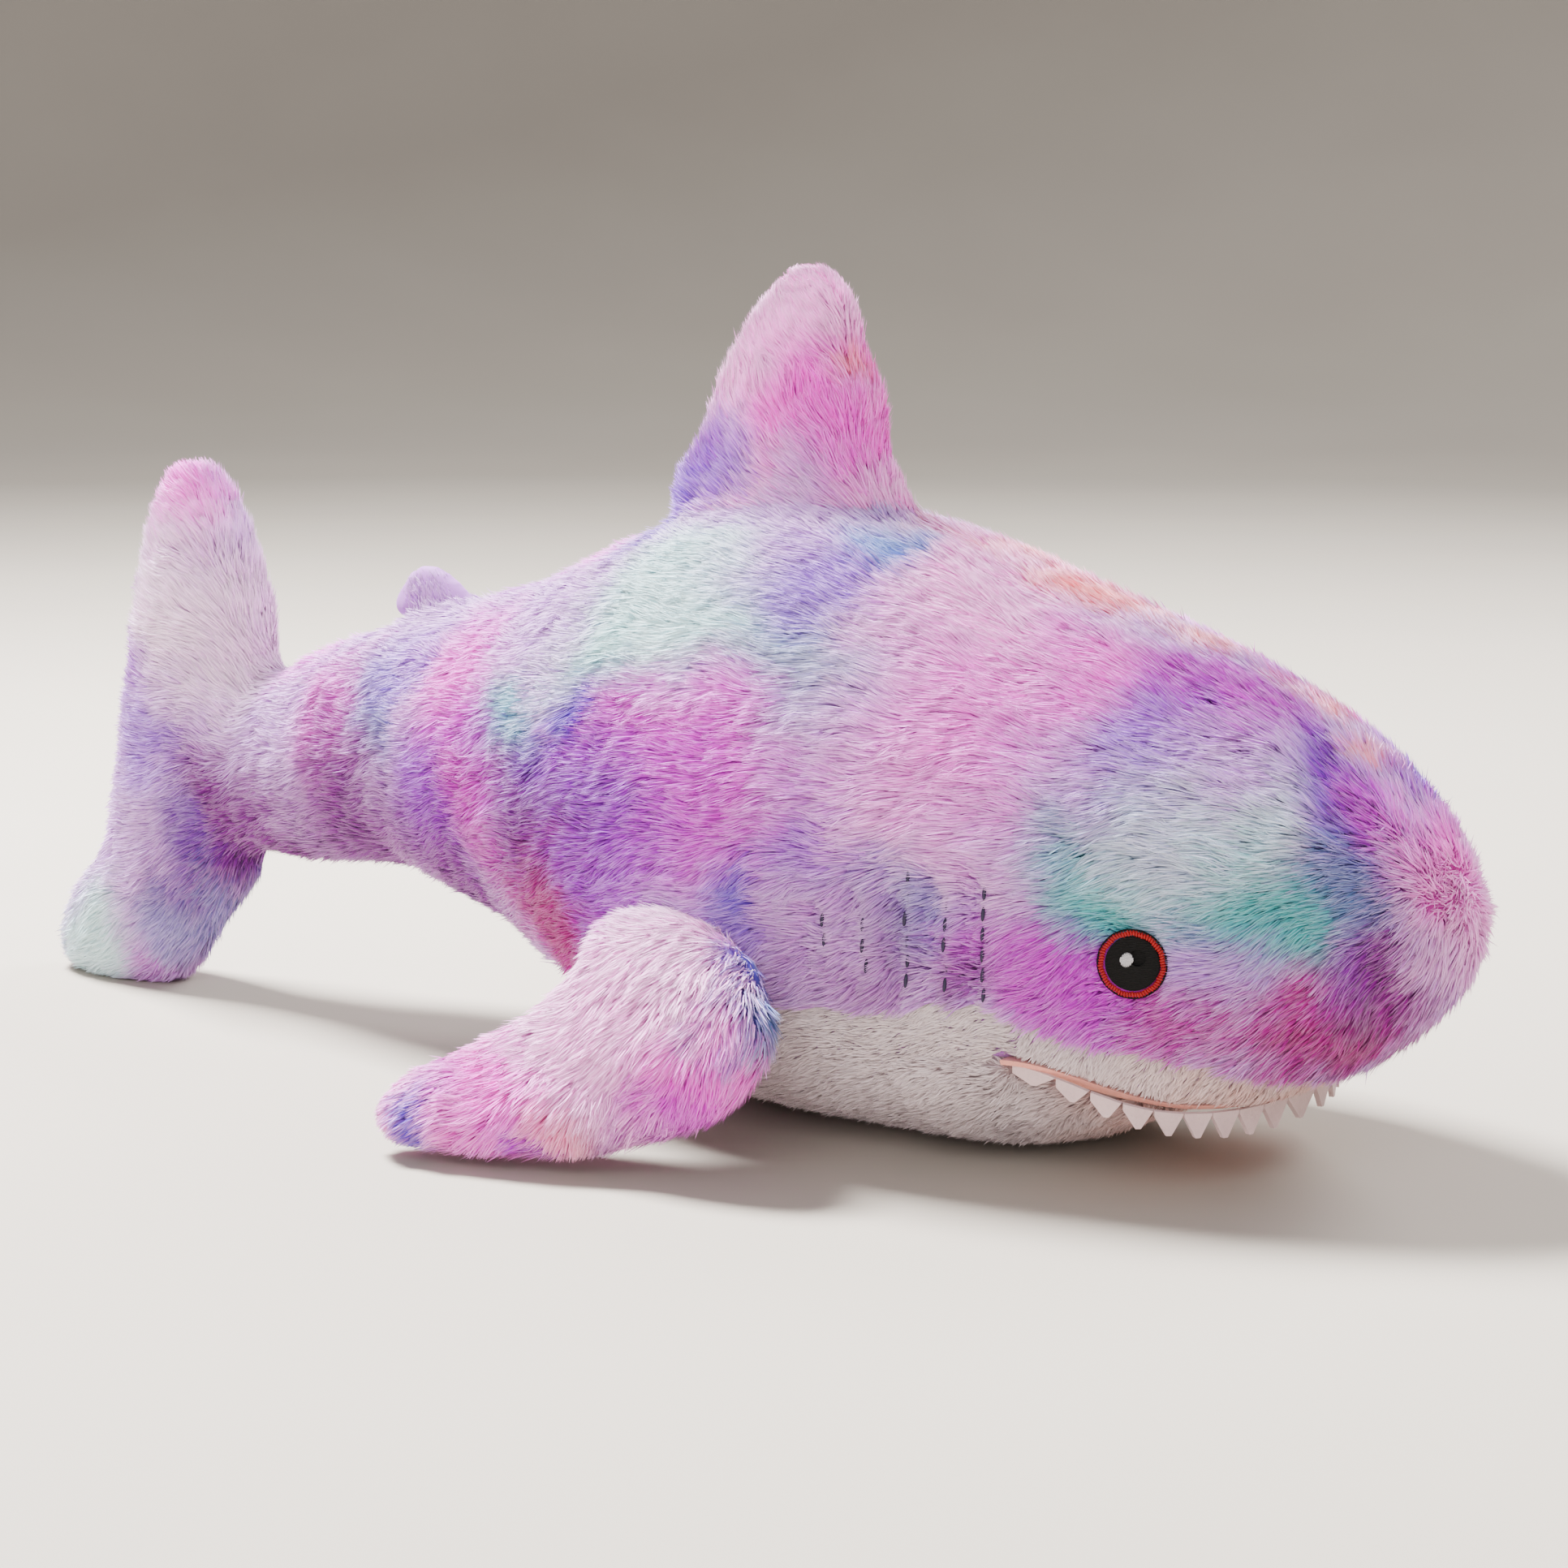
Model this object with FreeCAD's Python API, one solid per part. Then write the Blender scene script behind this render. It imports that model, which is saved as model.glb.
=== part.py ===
"""Plush shark: a stuffed pile-fabric toy with soft hinged fins, tail and lower jaw.

Frame: +X towards the snout, +Y to the shark's left, +Z up, millimetres.
The origin lies on the floor under the middle of the bounding box.
Each soft part is a filling inside sewn fabric panels.
"""

import FreeCAD
import Part

import math
import os

Vec = FreeCAD.Vector

# ---------------------------------------------------------------- driving dimensions (mm)

FABRIC = 3.0          # thickness of the pile fabric, backing and half of its pile
LINING = 1.6          # thickness of the mouth lining felt
FELT = 1.6            # thickness of a tooth
GAP = 0.8             # clearance round a soft hinge
SOCKET_GAP = 1.3      # clearance round a fin's rounded root
SECTION_POINTS = 16   # points round one cross-section
FAR = 400.0           # half size of a cutting block
ROOT_SHARES = (0.985, 0.9, 0.72, 0.42)   # depths of the sections that round a fin's root
ROOT_SECTIONS = len(ROOT_SHARES)

# Trunk cross-sections: x, lowest z, highest z, half width, squareness of the underside
TRUNK = [
    (-203, 66, 112, 15, 2.0),
    (-177, 55, 125, 22, 2.0),
    (-147, 57, 136, 30, 2.0),
    (-112, 59, 147, 38, 2.0),
    (-77, 56, 155, 47, 2.0),
    (-42, 42, 166, 59, 2.1),
    (-7, 22, 181, 72, 2.2),
    (33, 5, 191, 84, 2.4),
    (73, 0.2, 193, 90, 2.6),
    (113, 0.2, 187, 89, 2.6),
    (153, 1, 174, 84, 2.6),
    (183, 4, 164, 78, 2.6),
    (203, 7, 157, 73, 2.7),
    (223, 13, 149, 66, 2.8),
    (243, 25.5, 139, 57, 2.5),
    (262, 38, 126, 45, 2.2),
    (278, 51, 111, 30, 2.0),
    (289, 65, 97, 14, 2.0),
    (292.4, 74, 88, 6, 2.0),
]
# Lower jaw cross-sections, in the same terms; its top is cut along the mouth
JAW = [
    (110, 2, 150, 84, 2.6),
    (145, 4, 150, 80, 2.6),
    (170, 6.5, 140, 73, 2.6),
    (190, 11, 130, 67, 2.6),
    (205, 16, 120, 61.5, 2.6),
    (218, 21, 110, 54, 2.6),
    (236, 28, 100, 42, 2.6),
]
WAIST = 0.46          # height of the widest line as a fraction of a section's height

# Seam between the dyed flank and the white underside: x, z
SEAM = [(-60, 20), (-30, 38), (0, 46), (60, 50), (115, 51), (145, 55), (170, 58), (196, 53),
        (226, 47), (247, 41), (262, 37), (300, 30)]

# Mouth: x, z of the roof line and of the lower jaw's top line, from the corner forward
MOUTH_ROOF = [(173, 38), (190, 36), (206, 31), (218, 27.5), (232, 25.5), (252, 24)]
JAW_TOP = [(173, 36.4), (188, 33), (200, 27), (208, 21), (216, 12)]
JAW_PIVOT = Vec(173, 0, 37)
JAW_RADIUS = 30.0     # rounded back end of the jaw about its pivot
JAW_RANGE = 12.0      # degrees that the jaw opens

# Teeth along the upper lip: half the arch's width and its depth, tooth size at the front
TEETH_PER_SIDE = 9
TOOTH_ARCH_X = 176.0
TOOTH_ARCH_DEPTH = 61.0
TOOTH_ARCH_WIDTH = 68.5
TOOTH_ARCH_POWER = 2.5
TOOTH_DROP = 8.5
TOOTH_DROP_CORNER = 3.5

# Eyes and gills on the head
EYE_X, EYE_Z = 216.0, 73.5
EYE_RADIUS = 9.8
EYE_RING_WIDTH = 1.9
EYE_SEAT = 1.2        # how deep the eye patch sits in the pile
GLINT_RADIUS = 2.4
GILL_ROWS = [(173, 58, 94), (161, 60, 90), (149, 60, 97), (135, 63, 88), (122, 70, 82)]
STITCH_LENGTH = 4.2
STITCH_PITCH = 6.4
STITCH_RADIUS = 0.7

# Upright fins: height z, middle x, half chord, half thickness
DORSAL = [(193, 49, 48, 15), (204, 49, 40.5, 14), (220, 51, 33, 13), (236, 53, 26.5, 11.5),
          (250, 54, 21, 10), (261, 56, 15, 8), (267, 57, 9, 5.5), (269.5, 57.5, 4, 3)]
REAR_DORSAL = [(150.5, -103, 22, 9), (155, -103.5, 19.5, 8.2), (159.5, -104.5, 15.5, 6.8),
               (163, -105.5, 10.5, 5), (165, -106, 5, 2.8)]
CAUDAL = [(0.0, -259, 19, 8), (2.5, -260, 27, 11), (9, -259, 33, 13), (20, -254, 36.5, 14.5),
          (34, -243, 38, 15), (50, -231, 38, 15), (70, -224, 37.5, 15), (95, -220, 37, 15),
          (120, -217, 34.5, 14.5), (145, -216, 31, 13.5), (165, -217, 25, 12), (181, -218, 18, 10),
          (191, -219, 11, 7), (196, -219, 5, 4)]

# Soft hinges
TAIL_PIVOT = Vec(-72, 0, 0)
TAIL_ROOT_RADIUS = 30.0
TAIL_RANGE = 25.0
CAUDAL_PIVOT = Vec(-195, 0, 0)
CAUDAL_ROOT_RADIUS = 12.0
CAUDAL_RANGE = 30.0

# Right pectoral fin: trailing edge, leading edge, half thickness, from root to tip
PECTORAL = [((43, -94, 72.5), (113, -102, 61), 11.5),
            ((40, -101, 59), (121, -111, 47.5), 12.3),
            ((31, -108, 46.5), (117, -117.5, 31.5), 13),
            ((19, -111, 37), (99, -121, 19), 13),
            ((4, -119, 28), (76, -130, 12.5), 12),
            ((-8, -128, 21), (53, -140, 10.5), 10.5),
            ((-13, -136, 16), (33, -147, 10), 9),
            ((-10, -144, 12.5), (18, -151, 9.5), 6.5),
            ((-5, -148.5, 11.5), (8, -152, 10), 3.5)]


# ---------------------------------------------------------------- geometry helpers

def closed_curve(points):
    """A smooth closed wire through points, evenly parametrised so that lofts don't twist."""
    curve = Part.BSplineCurve()
    count = len(points)
    curve.interpolate(Points=points, PeriodicFlag=True,
                      Parameters=[i / count for i in range(count + 1)])
    return Part.Wire([curve.toShape()])


def oval(centre, along, across, half_along, half_across):
    """An oval wire about centre, in the plane of the unit vectors along and across."""
    points = []
    for i in range(SECTION_POINTS):
        angle = 2 * math.pi * i / SECTION_POINTS
        points.append(centre + along * (half_along * math.cos(angle))
                      + across * (half_across * math.sin(angle)))
    return closed_curve(points)


def trunk_section(x, low, high, half_width, squareness):
    """One upright section of the trunk, rounder on top and squarer underneath."""
    waist = low + (high - low) * WAIST
    points = []
    for i in range(SECTION_POINTS):
        angle = 2 * math.pi * i / SECTION_POINTS
        side, rise = math.cos(angle), math.sin(angle)
        power = 2 / squareness if rise < 0 else 1.0
        y = half_width * math.copysign(abs(side) ** power, side)
        reach = high - waist if rise > 0 else waist - low
        z = waist + reach * math.copysign(abs(rise) ** power, rise)
        points.append(Vec(x, y, z))
    return closed_curve(points)


def body_loft(sections, inset):
    """A body lofted through cross-sections, with every surface moved inwards by inset."""
    first, last = sections[0][0], sections[-1][0]
    middle, half = (first + last) / 2, (last - first) / 2
    wires = []
    for x, low, high, half_width, squareness in sections:
        moved = middle + (x - middle) * (half - inset) / half
        shrink = min(inset, 0.45 * half_width, 0.22 * (high - low))
        wires.append(trunk_section(moved, low + shrink, high - shrink,
                                   half_width - shrink, squareness))
    return Part.makeLoft(wires, True, False)


def smooth_line(points):
    """A smooth open edge through (x, z) points at y = -FAR."""
    curve = Part.BSplineCurve()
    curve.interpolate([Vec(x, -FAR, z) for x, z in points])
    return curve.toShape()


def below(points, drop=0.0):
    """Everything under a smooth (x, z) line, right through the toy along Y."""
    moved = [(x, z - drop) for x, z in points]
    (x0, z0), (x1, z1) = moved[0], moved[-1]
    corners = [Vec(x1, -FAR, z1), Vec(x1, -FAR, -FAR), Vec(x0, -FAR, -FAR), Vec(x0, -FAR, z0)]
    wire = Part.Wire([smooth_line(moved)] + Part.makePolygon(corners).Edges)
    return Part.Face(wire).extrude(Vec(0, 2 * FAR, 0))


def prism(outline, along):
    """A solid prism on a closed outline of points."""
    return Part.Face(Part.makePolygon(outline + [outline[0]])).extrude(along)


def half_space(side):
    """Everything on one side of the middle plane: side is 1 for left and -1 for right."""
    corner = Vec(-FAR, 0 if side > 0 else -FAR, -FAR)
    return Part.makeBox(2 * FAR, FAR, 2 * FAR, corner)


def upright_post(pivot, radius):
    return Part.makeCylinder(radius, 2 * FAR, Vec(pivot.x, pivot.y, -FAR))


def upright_fan(pivot, half_angle, facing):
    """An upright wedge with its edge on the pivot, open to +X (facing 1) or -X (facing -1)."""
    reach = FAR
    side = reach * math.tan(math.radians(min(half_angle, 89)))
    base = Vec(pivot.x, pivot.y, -FAR)
    outline = [base, base + Vec(facing * reach, -side, 0), base + Vec(facing * reach, side, 0)]
    return prism(outline, Vec(0, 0, 2 * FAR))


def yaw_split(pivot, radius, swing):
    """Front and back cutters for a hinge about Z, with a V notch that lets it swing."""
    open_angle = 90 - (swing + 2.0) / 2
    post = upright_post(pivot, radius)
    front = upright_fan(pivot, open_angle, 1).cut(upright_post(pivot, radius + GAP))
    back = upright_fan(pivot, open_angle, -1).fuse(post)
    return front, back


def halves(shell):
    """The right and left halves of a shell, split on the middle plane."""
    return shell.common(half_space(-1)), shell.common(half_space(1))


def fin_rows(stations, inset):
    """Frames of a fin's oval sections from its root to its tip.

    stations holds (trailing point, leading point, half thickness). Each frame is
    (centre, chord direction, thickness direction, half chord, half thickness).
    A rounded root is added behind the first station.
    """
    centres = [(trail + lead) * 0.5 for trail, lead, _ in stations]
    rows = []
    for i, (trail, lead, thick) in enumerate(stations):
        ahead = centres[min(i + 1, len(centres) - 1)] - centres[max(i - 1, 0)]
        chord = (lead - trail).normalize()
        normal = chord.cross(ahead).normalize()
        half_chord = (lead - trail).Length / 2
        shrink = min(inset, 0.45 * thick)
        rows.append([centres[i], chord, normal, half_chord - shrink, thick - shrink])
    root = rows[0]
    inward = root[2].cross(root[1]).normalize()
    if inward.dot(centres[1] - centres[0]) > 0:
        inward = inward * -1
    rounded = []
    for share in ROOT_SHARES:
        scale = math.sqrt(1 - share * share)
        rounded.append([root[0] + inward * (share * root[4]), root[1], root[2],
                        root[3] * scale, root[4] * scale])
    return rounded + rows


def fin_loft(rows):
    return Part.makeLoft([oval(*row) for row in rows], True, False)


def upright_fin(profile):
    """Stations of a fin that stands in the middle plane."""
    return [(Vec(x - chord, 0, z), Vec(x + chord, 0, z), thick) for z, x, chord, thick in profile]


def root_socket(rows_outer):
    """The hollow that a fin's rounded root turns in, a little larger than the root."""
    centre, chord, _, half_chord, half_thick = rows_outer[ROOT_SECTIONS]
    turn = FreeCAD.Rotation(Vec(1, 0, 0), chord)
    radius = half_thick + SOCKET_GAP
    ball = Part.makeSphere(radius)
    stretch = FreeCAD.Matrix()
    stretch.scale(Vec((half_chord + SOCKET_GAP) / radius, 1, 1))
    spindle = ball.transformGeometry(stretch)
    spindle.Placement = FreeCAD.Placement(centre, turn)
    return spindle


def save(name, shape):
    """Write one node, keeping only real solids."""
    solids = [s for s in shape.Solids if s.Volume > 0.5]
    result = solids[0] if len(solids) == 1 else Part.makeCompound(solids)
    if not solids or not all(s.isValid() for s in solids):
        raise RuntimeError(f"{name} is not a valid solid")
    result.exportStep(f"parts/{name}.step")
    box = result.BoundBox
    print(f"{name:28s} {len(solids):3d} solids  x {box.XMin:7.1f} {box.XMax:7.1f}"
          f"  y {box.YMin:7.1f} {box.YMax:7.1f}  z {box.ZMin:6.1f} {box.ZMax:6.1f}"
          f"  {result.Volume / 1000:8.1f} cm3")
    return result


# ---------------------------------------------------------------- sub-parts

def soft_fin(prefix, stations, names=("panel_right", "panel_left"), splitter=None):
    """A fin as a filling and two sewn panels; splitter is the solid on the first panel's side."""
    outer = fin_loft(fin_rows(stations, 0))
    inner = fin_loft(fin_rows(stations, FABRIC))
    shell = outer.cut(inner)
    side = splitter or half_space(-1)
    return {f"{prefix}_filling": inner,
            f"{prefix}_{names[0]}": shell.common(side),
            f"{prefix}_{names[1]}": shell.cut(side)}


def pectoral_splitter(stations):
    """The solid under the middle sheet of the right pectoral fin."""
    rows = fin_rows(stations, 0)[ROOT_SECTIONS:]
    centres = [row[0] for row in rows]
    run_in = (centres[0] - centres[1]).normalize() * 40
    run_out = (centres[-1] - centres[-2]).normalize() * 30
    spine = Part.BSplineCurve()
    spine.interpolate([centres[0] + run_in] + centres + [centres[-1] + run_out])
    chord = Vec(0, 0, 0)
    for row in rows:
        chord = chord + row[1]
    chord = chord.normalize()
    edge = spine.toShape()
    edge.translate(chord * -120)
    down = rows[2][2]
    if down.z > 0:
        down = down * -1
    return edge.extrude(chord * 240).extrude(down * 70)


def mirrored(shape):
    """The same shape on the other side of the middle plane."""
    return shape.mirror(Vec(0, 0, 0), Vec(0, 1, 0))


def pectorals():
    stations = [(Vec(*trail), Vec(*lead), thick) for trail, lead, thick in PECTORAL]
    right = soft_fin("pectoral_fin_right", stations, ("lower_panel", "upper_panel"),
                     pectoral_splitter(stations))
    nodes = dict(right)
    for name, shape in right.items():
        nodes[name.replace("_right_", "_left_")] = mirrored(shape)
    socket = root_socket(fin_rows(stations, 0))
    return nodes, [socket, mirrored(socket)]


def dorsal_fins():
    nodes = soft_fin("dorsal_fin", upright_fin(DORSAL))
    nodes.update(soft_fin("rear_dorsal_fin", upright_fin(REAR_DORSAL)))
    front_socket = root_socket(fin_rows(upright_fin(DORSAL), 0))
    rear_socket = root_socket(fin_rows(upright_fin(REAR_DORSAL), 0))
    return nodes, front_socket, rear_socket


def caudal_fin():
    _, keep = yaw_split(CAUDAL_PIVOT, CAUDAL_ROOT_RADIUS, CAUDAL_RANGE)
    rows_outer = [(Vec(x, 0, z), Vec(1, 0, 0), Vec(0, 1, 0), chord, thick)
                  for z, x, chord, thick in CAUDAL]
    rows_inner = [(Vec(x, 0, z), Vec(1, 0, 0), Vec(0, 1, 0), chord - min(FABRIC, 0.4 * chord),
                   thick - min(FABRIC, 0.4 * thick)) for z, x, chord, thick in CAUDAL]
    rows_inner[0] = (rows_inner[0][0] + Vec(0, 0, FABRIC * 0.6),) + rows_inner[0][1:]
    rows_inner[-1] = (rows_inner[-1][0] - Vec(0, 0, FABRIC * 0.6),) + rows_inner[-1][1:]
    outer = fin_loft(rows_outer).common(keep)
    inner = fin_loft(rows_inner).common(keep)
    right, left = halves(outer.cut(inner))
    return {"caudal_fin_filling": inner, "caudal_fin_panel_right": right,
            "caudal_fin_panel_left": left}


def jaw_space(radius, top_line, drop=0.0):
    """The room under a mouth line, closed behind by a rounded end about the jaw's pivot."""
    ahead = Part.makeBox(FAR, 2 * FAR, 2 * FAR, Vec(JAW_PIVOT.x, -FAR, -FAR))
    roller = Part.makeCylinder(radius, 2 * FAR, Vec(JAW_PIVOT.x, -FAR, JAW_PIVOT.z), Vec(0, 1, 0))
    back = [(JAW_PIVOT.x - 60, top_line[0][1] - drop)]
    line = below(top_line, 0)
    block = Part.makeBox(60, 2 * FAR, FAR, Vec(back[0][0], -FAR, back[0][1] - FAR))
    return line.common(ahead).fuse(block.common(roller))


def jaw_back_slope():
    """The wedge above the jaw's rounded back, left free so that the jaw can tip open."""
    pivot = Vec(JAW_PIVOT.x, -FAR, JAW_PIVOT.z)
    fall = 80 * math.tan(math.radians(JAW_RANGE + 2))
    return prism([pivot, pivot + Vec(-80, 0, -fall), pivot + Vec(-80, 0, 40), pivot + Vec(0, 0, 40)],
                 Vec(0, 2 * FAR, 0))


def trunk_parts(pectoral_sockets, front_socket, rear_socket):
    """The torso, the tail stem and the lower jaw, cut from one continuous trunk."""
    outer, inner = body_loft(TRUNK, 0), body_loft(TRUNK, FABRIC)
    torso_side, tail_side = yaw_split(TAIL_PIVOT, TAIL_ROOT_RADIUS, TAIL_RANGE)
    stem_side, _ = yaw_split(CAUDAL_PIVOT, CAUDAL_ROOT_RADIUS, CAUDAL_RANGE)
    white = below(SEAM)
    mouth = jaw_space(JAW_RADIUS + GAP, MOUTH_ROOF)
    roof_band = jaw_space(JAW_RADIUS + GAP, [(x, z + LINING) for x, z in MOUTH_ROOF]).cut(mouth)
    roof_band = roof_band.common(Part.makeBox(FAR, 2 * FAR, 2 * FAR,
                                              Vec(JAW_PIVOT.x, -FAR, -FAR)))

    open_spaces = [mouth, front_socket] + pectoral_sockets
    torso_fill = inner.common(torso_side).cut(open_spaces)
    torso_skin = outer.cut(inner).common(torso_side).cut(open_spaces)
    lining = torso_fill.common(roof_band)
    torso_fill = torso_fill.cut(roof_band)
    underside = torso_skin.common(white)
    flank = torso_skin.cut(white)
    lip_block = Part.makeBox(FAR, 2 * FAR, 2 * FAR, Vec(JAW_PIVOT.x, -FAR, -FAR))
    lip = underside.common(lip_block)
    belly = underside.cut(lip_block)
    right, left = halves(flank)

    stem_cut = stem_side.common(tail_side)
    stem_fill = inner.common(stem_cut).cut(rear_socket)
    stem_right, stem_left = halves(outer.cut(inner).common(stem_cut).cut(rear_socket))
    return {"torso_filling": torso_fill, "flank_panel_right": right, "flank_panel_left": left,
            "belly_panel": belly, "upper_lip_panel": lip, "mouth_roof_lining": lining,
            "tail_filling": stem_fill, "tail_panel_right": stem_right,
            "tail_panel_left": stem_left}


def lower_jaw():
    room = jaw_space(JAW_RADIUS, JAW_TOP).cut(jaw_back_slope())
    floor_band = room.cut(jaw_space(JAW_RADIUS, [(x, z - LINING) for x, z in JAW_TOP]))
    floor_band = floor_band.common(Part.makeBox(FAR, 2 * FAR, 2 * FAR,
                                                Vec(JAW_PIVOT.x, -FAR, -FAR)))
    outer = body_loft(JAW, 0).common(room)
    inner = body_loft(JAW, FABRIC).common(room)
    lining = inner.common(floor_band)
    return {"jaw_panel": outer.cut(inner), "jaw_filling": inner.cut(floor_band),
            "mouth_floor_lining": lining}


def teeth():
    """A row of felt teeth on the edge of the upper lip, largest at the front."""
    under_roof = jaw_space(JAW_RADIUS, [(x, z - 0.02) for x, z in MOUTH_ROOF])
    solids = []
    spacing = 1.0 / (TEETH_PER_SIDE + 0.5)
    for i in range(-TEETH_PER_SIDE, TEETH_PER_SIDE + 1):
        share = i * spacing
        left_edge = arch_point(share - spacing / 2)
        right_edge = arch_point(share + spacing / 2)
        middle = (left_edge + right_edge) * 0.5
        along = (right_edge - left_edge).normalize()
        inward = Vec(JAW_PIVOT.x - middle.x, -middle.y, 0).normalize()
        drop = TOOTH_DROP + (TOOTH_DROP_CORNER - TOOTH_DROP) * abs(share) ** 2
        roof = roof_height(middle.x)
        half = (right_edge - left_edge).Length / 2 - 0.15
        top = roof + 3
        outline = [Vec(middle.x, middle.y, top) - along * half,
                   Vec(middle.x, middle.y, roof - 1) - along * half,
                   Vec(middle.x, middle.y, roof - drop) - along * 0.8,
                   Vec(middle.x, middle.y, roof - drop) + along * 0.8,
                   Vec(middle.x, middle.y, roof - 1) + along * half,
                   Vec(middle.x, middle.y, top) + along * half]
        across = along.cross(Vec(0, 0, 1)).normalize()
        if across.dot(inward) < 0:
            across = across * -1
        solids.append(prism(outline, across * FELT).common(under_roof))
    return {"upper_teeth": Part.makeCompound(solids)}


def arch_point(share):
    """A point on the tooth arch; share runs from -1 at the right corner to 1 at the left."""
    angle = max(-1.0, min(1.0, share)) * math.pi / 2
    power = 2 / TOOTH_ARCH_POWER
    x = TOOTH_ARCH_X + TOOTH_ARCH_DEPTH * abs(math.cos(angle)) ** power
    y = TOOTH_ARCH_WIDTH * math.copysign(abs(math.sin(angle)) ** power, angle)
    return Vec(x, y, 0)


def roof_height(x):
    """Height of the mouth's roof line at x."""
    for (x0, z0), (x1, z1) in zip(MOUTH_ROOF, MOUTH_ROOF[1:]):
        if x <= x1:
            return z0 + (z1 - z0) * max(0.0, (x - x0)) / (x1 - x0)
    return MOUTH_ROOF[-1][1]


def skin_point(skin, x, z):
    """The point and outward normal where the right side of a solid meets (x, z)."""
    line = Part.makeLine(Vec(x, -FAR, z), Vec(x, 0, z))
    point = line.common(skin).BoundBox
    spot = Vec(x, point.YMin, z)
    face = min(skin.Faces, key=lambda f: f.distToShape(Part.Vertex(spot))[0])
    u, v = face.Surface.parameter(spot)
    normal = face.normalAt(u, v)
    if normal.y > 0:
        normal = normal * -1
    return spot, normal


def right_eye(skin):
    """Embroidered ring, black disc and glint of the right eye, and the seat that they fill."""
    spot, normal = skin_point(skin, EYE_X, EYE_Z)
    base = spot - normal * EYE_SEAT
    seat = Part.makeCylinder(EYE_RADIUS, 12, base, normal)
    hole = EYE_RADIUS - EYE_RING_WIDTH
    ring_height = EYE_SEAT + 1.3
    ring = Part.makeCylinder(EYE_RADIUS, ring_height, base, normal)
    ring = ring.makeFillet(0.8, [e for e in ring.Edges
                                 if abs((e.BoundBox.Center - base).dot(normal) - ring_height) < 0.2
                                 and len(e.Vertexes) == 1])
    ring = ring.cut(Part.makeCylinder(hole, 12, base, normal))
    disc_height = EYE_SEAT + 0.5
    disc = Part.makeCylinder(hole, disc_height, base, normal)
    dome_radius = 34.0
    centre = base + normal * (disc_height + 0.9 - dome_radius)
    disc = Part.makeCylinder(hole, disc_height + 0.9, base, normal).common(
        Part.makeSphere(dome_radius, centre))
    side = normal.cross(Vec(0, 0, 1)).normalize()
    place = base + side * (-1.6) + Vec(0, 0, 1.9) + normal * disc_height
    glint = Part.makeCylinder(GLINT_RADIUS, 1.1, place - normal * 0.1, normal)
    disc = disc.cut(glint)
    return ring, disc, glint, seat


def gills(skin):
    """Rows of short upright stitches lying on the right flank, as one group of solids."""
    stitches = []
    for x, low, high in GILL_ROWS:
        count = max(1, round((high - low) / STITCH_PITCH))
        for k in range(count):
            z = low + (k + 0.5) * (high - low) / count
            spot, normal = skin_point(skin, x, z)
            up = (Vec(0, 0, 1) - normal * normal.z).normalize()
            start = spot + normal * (STITCH_RADIUS + 0.25) - up * (STITCH_LENGTH / 2)
            stitches.append(Part.makeCylinder(STITCH_RADIUS, STITCH_LENGTH, start, up))
    return Part.makeCompound(stitches)


def main():
    os.makedirs("parts", exist_ok=True)
    nodes, pectoral_sockets = pectorals()
    fins, front_socket, rear_socket = dorsal_fins()
    nodes.update(fins)
    nodes.update(caudal_fin())
    nodes.update(trunk_parts(pectoral_sockets, front_socket, rear_socket))
    nodes.update(lower_jaw())
    nodes.update(teeth())

    skin = body_loft(TRUNK, 0)
    ring, disc, glint, seat = right_eye(skin)
    nodes["flank_panel_right"] = nodes["flank_panel_right"].cut(seat)
    nodes["flank_panel_left"] = nodes["flank_panel_left"].cut(mirrored(seat))
    for name, shape in (("eye_ring", ring), ("eye_disc", disc), ("eye_glint", glint),
                        ("gill_stitches", gills(skin))):
        nodes[f"{name}_right"] = shape
        nodes[f"{name}_left"] = mirrored(shape)

    whole = [save(name, shape) for name, shape in nodes.items()]
    box = Part.makeCompound(whole).BoundBox
    print(f"{len(nodes)} nodes; box x {box.XMin:.2f} {box.XMax:.2f}, y {box.YMin:.2f} "
          f"{box.YMax:.2f}, z {box.ZMin:.2f} {box.ZMax:.2f}")


main()
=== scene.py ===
"""Plush shark in long tie-dyed pile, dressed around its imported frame."""

import logging
import math
from contextlib import contextmanager
from dataclasses import dataclass, field
from enum import Enum
from typing import Iterator, Optional, Sequence, Union

import bpy
import numpy as np
from bpy.types import Material, Node, NodeSocket, Object
from mathutils import Matrix, Vector
from mathutils.bvhtree import BVHTree


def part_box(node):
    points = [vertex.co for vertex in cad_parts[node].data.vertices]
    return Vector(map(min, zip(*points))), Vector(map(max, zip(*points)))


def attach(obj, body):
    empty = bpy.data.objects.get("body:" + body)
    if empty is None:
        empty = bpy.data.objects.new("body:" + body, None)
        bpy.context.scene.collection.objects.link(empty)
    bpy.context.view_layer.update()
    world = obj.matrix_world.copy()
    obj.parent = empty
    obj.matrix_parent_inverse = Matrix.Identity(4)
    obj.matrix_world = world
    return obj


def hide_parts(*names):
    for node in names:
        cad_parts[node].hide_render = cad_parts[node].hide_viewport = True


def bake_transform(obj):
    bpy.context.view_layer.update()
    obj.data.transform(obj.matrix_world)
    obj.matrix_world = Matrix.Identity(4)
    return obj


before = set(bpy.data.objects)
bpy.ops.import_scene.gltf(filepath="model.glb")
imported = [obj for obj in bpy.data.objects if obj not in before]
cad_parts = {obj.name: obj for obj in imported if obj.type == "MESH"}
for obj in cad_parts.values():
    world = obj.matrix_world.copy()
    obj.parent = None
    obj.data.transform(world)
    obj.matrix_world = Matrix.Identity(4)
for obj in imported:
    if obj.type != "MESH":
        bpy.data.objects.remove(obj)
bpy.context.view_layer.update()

LOG = logging.getLogger("shark")
MM = 0.001
Colour = tuple[float, float, float]
Spot = tuple[float, float, float]
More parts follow.
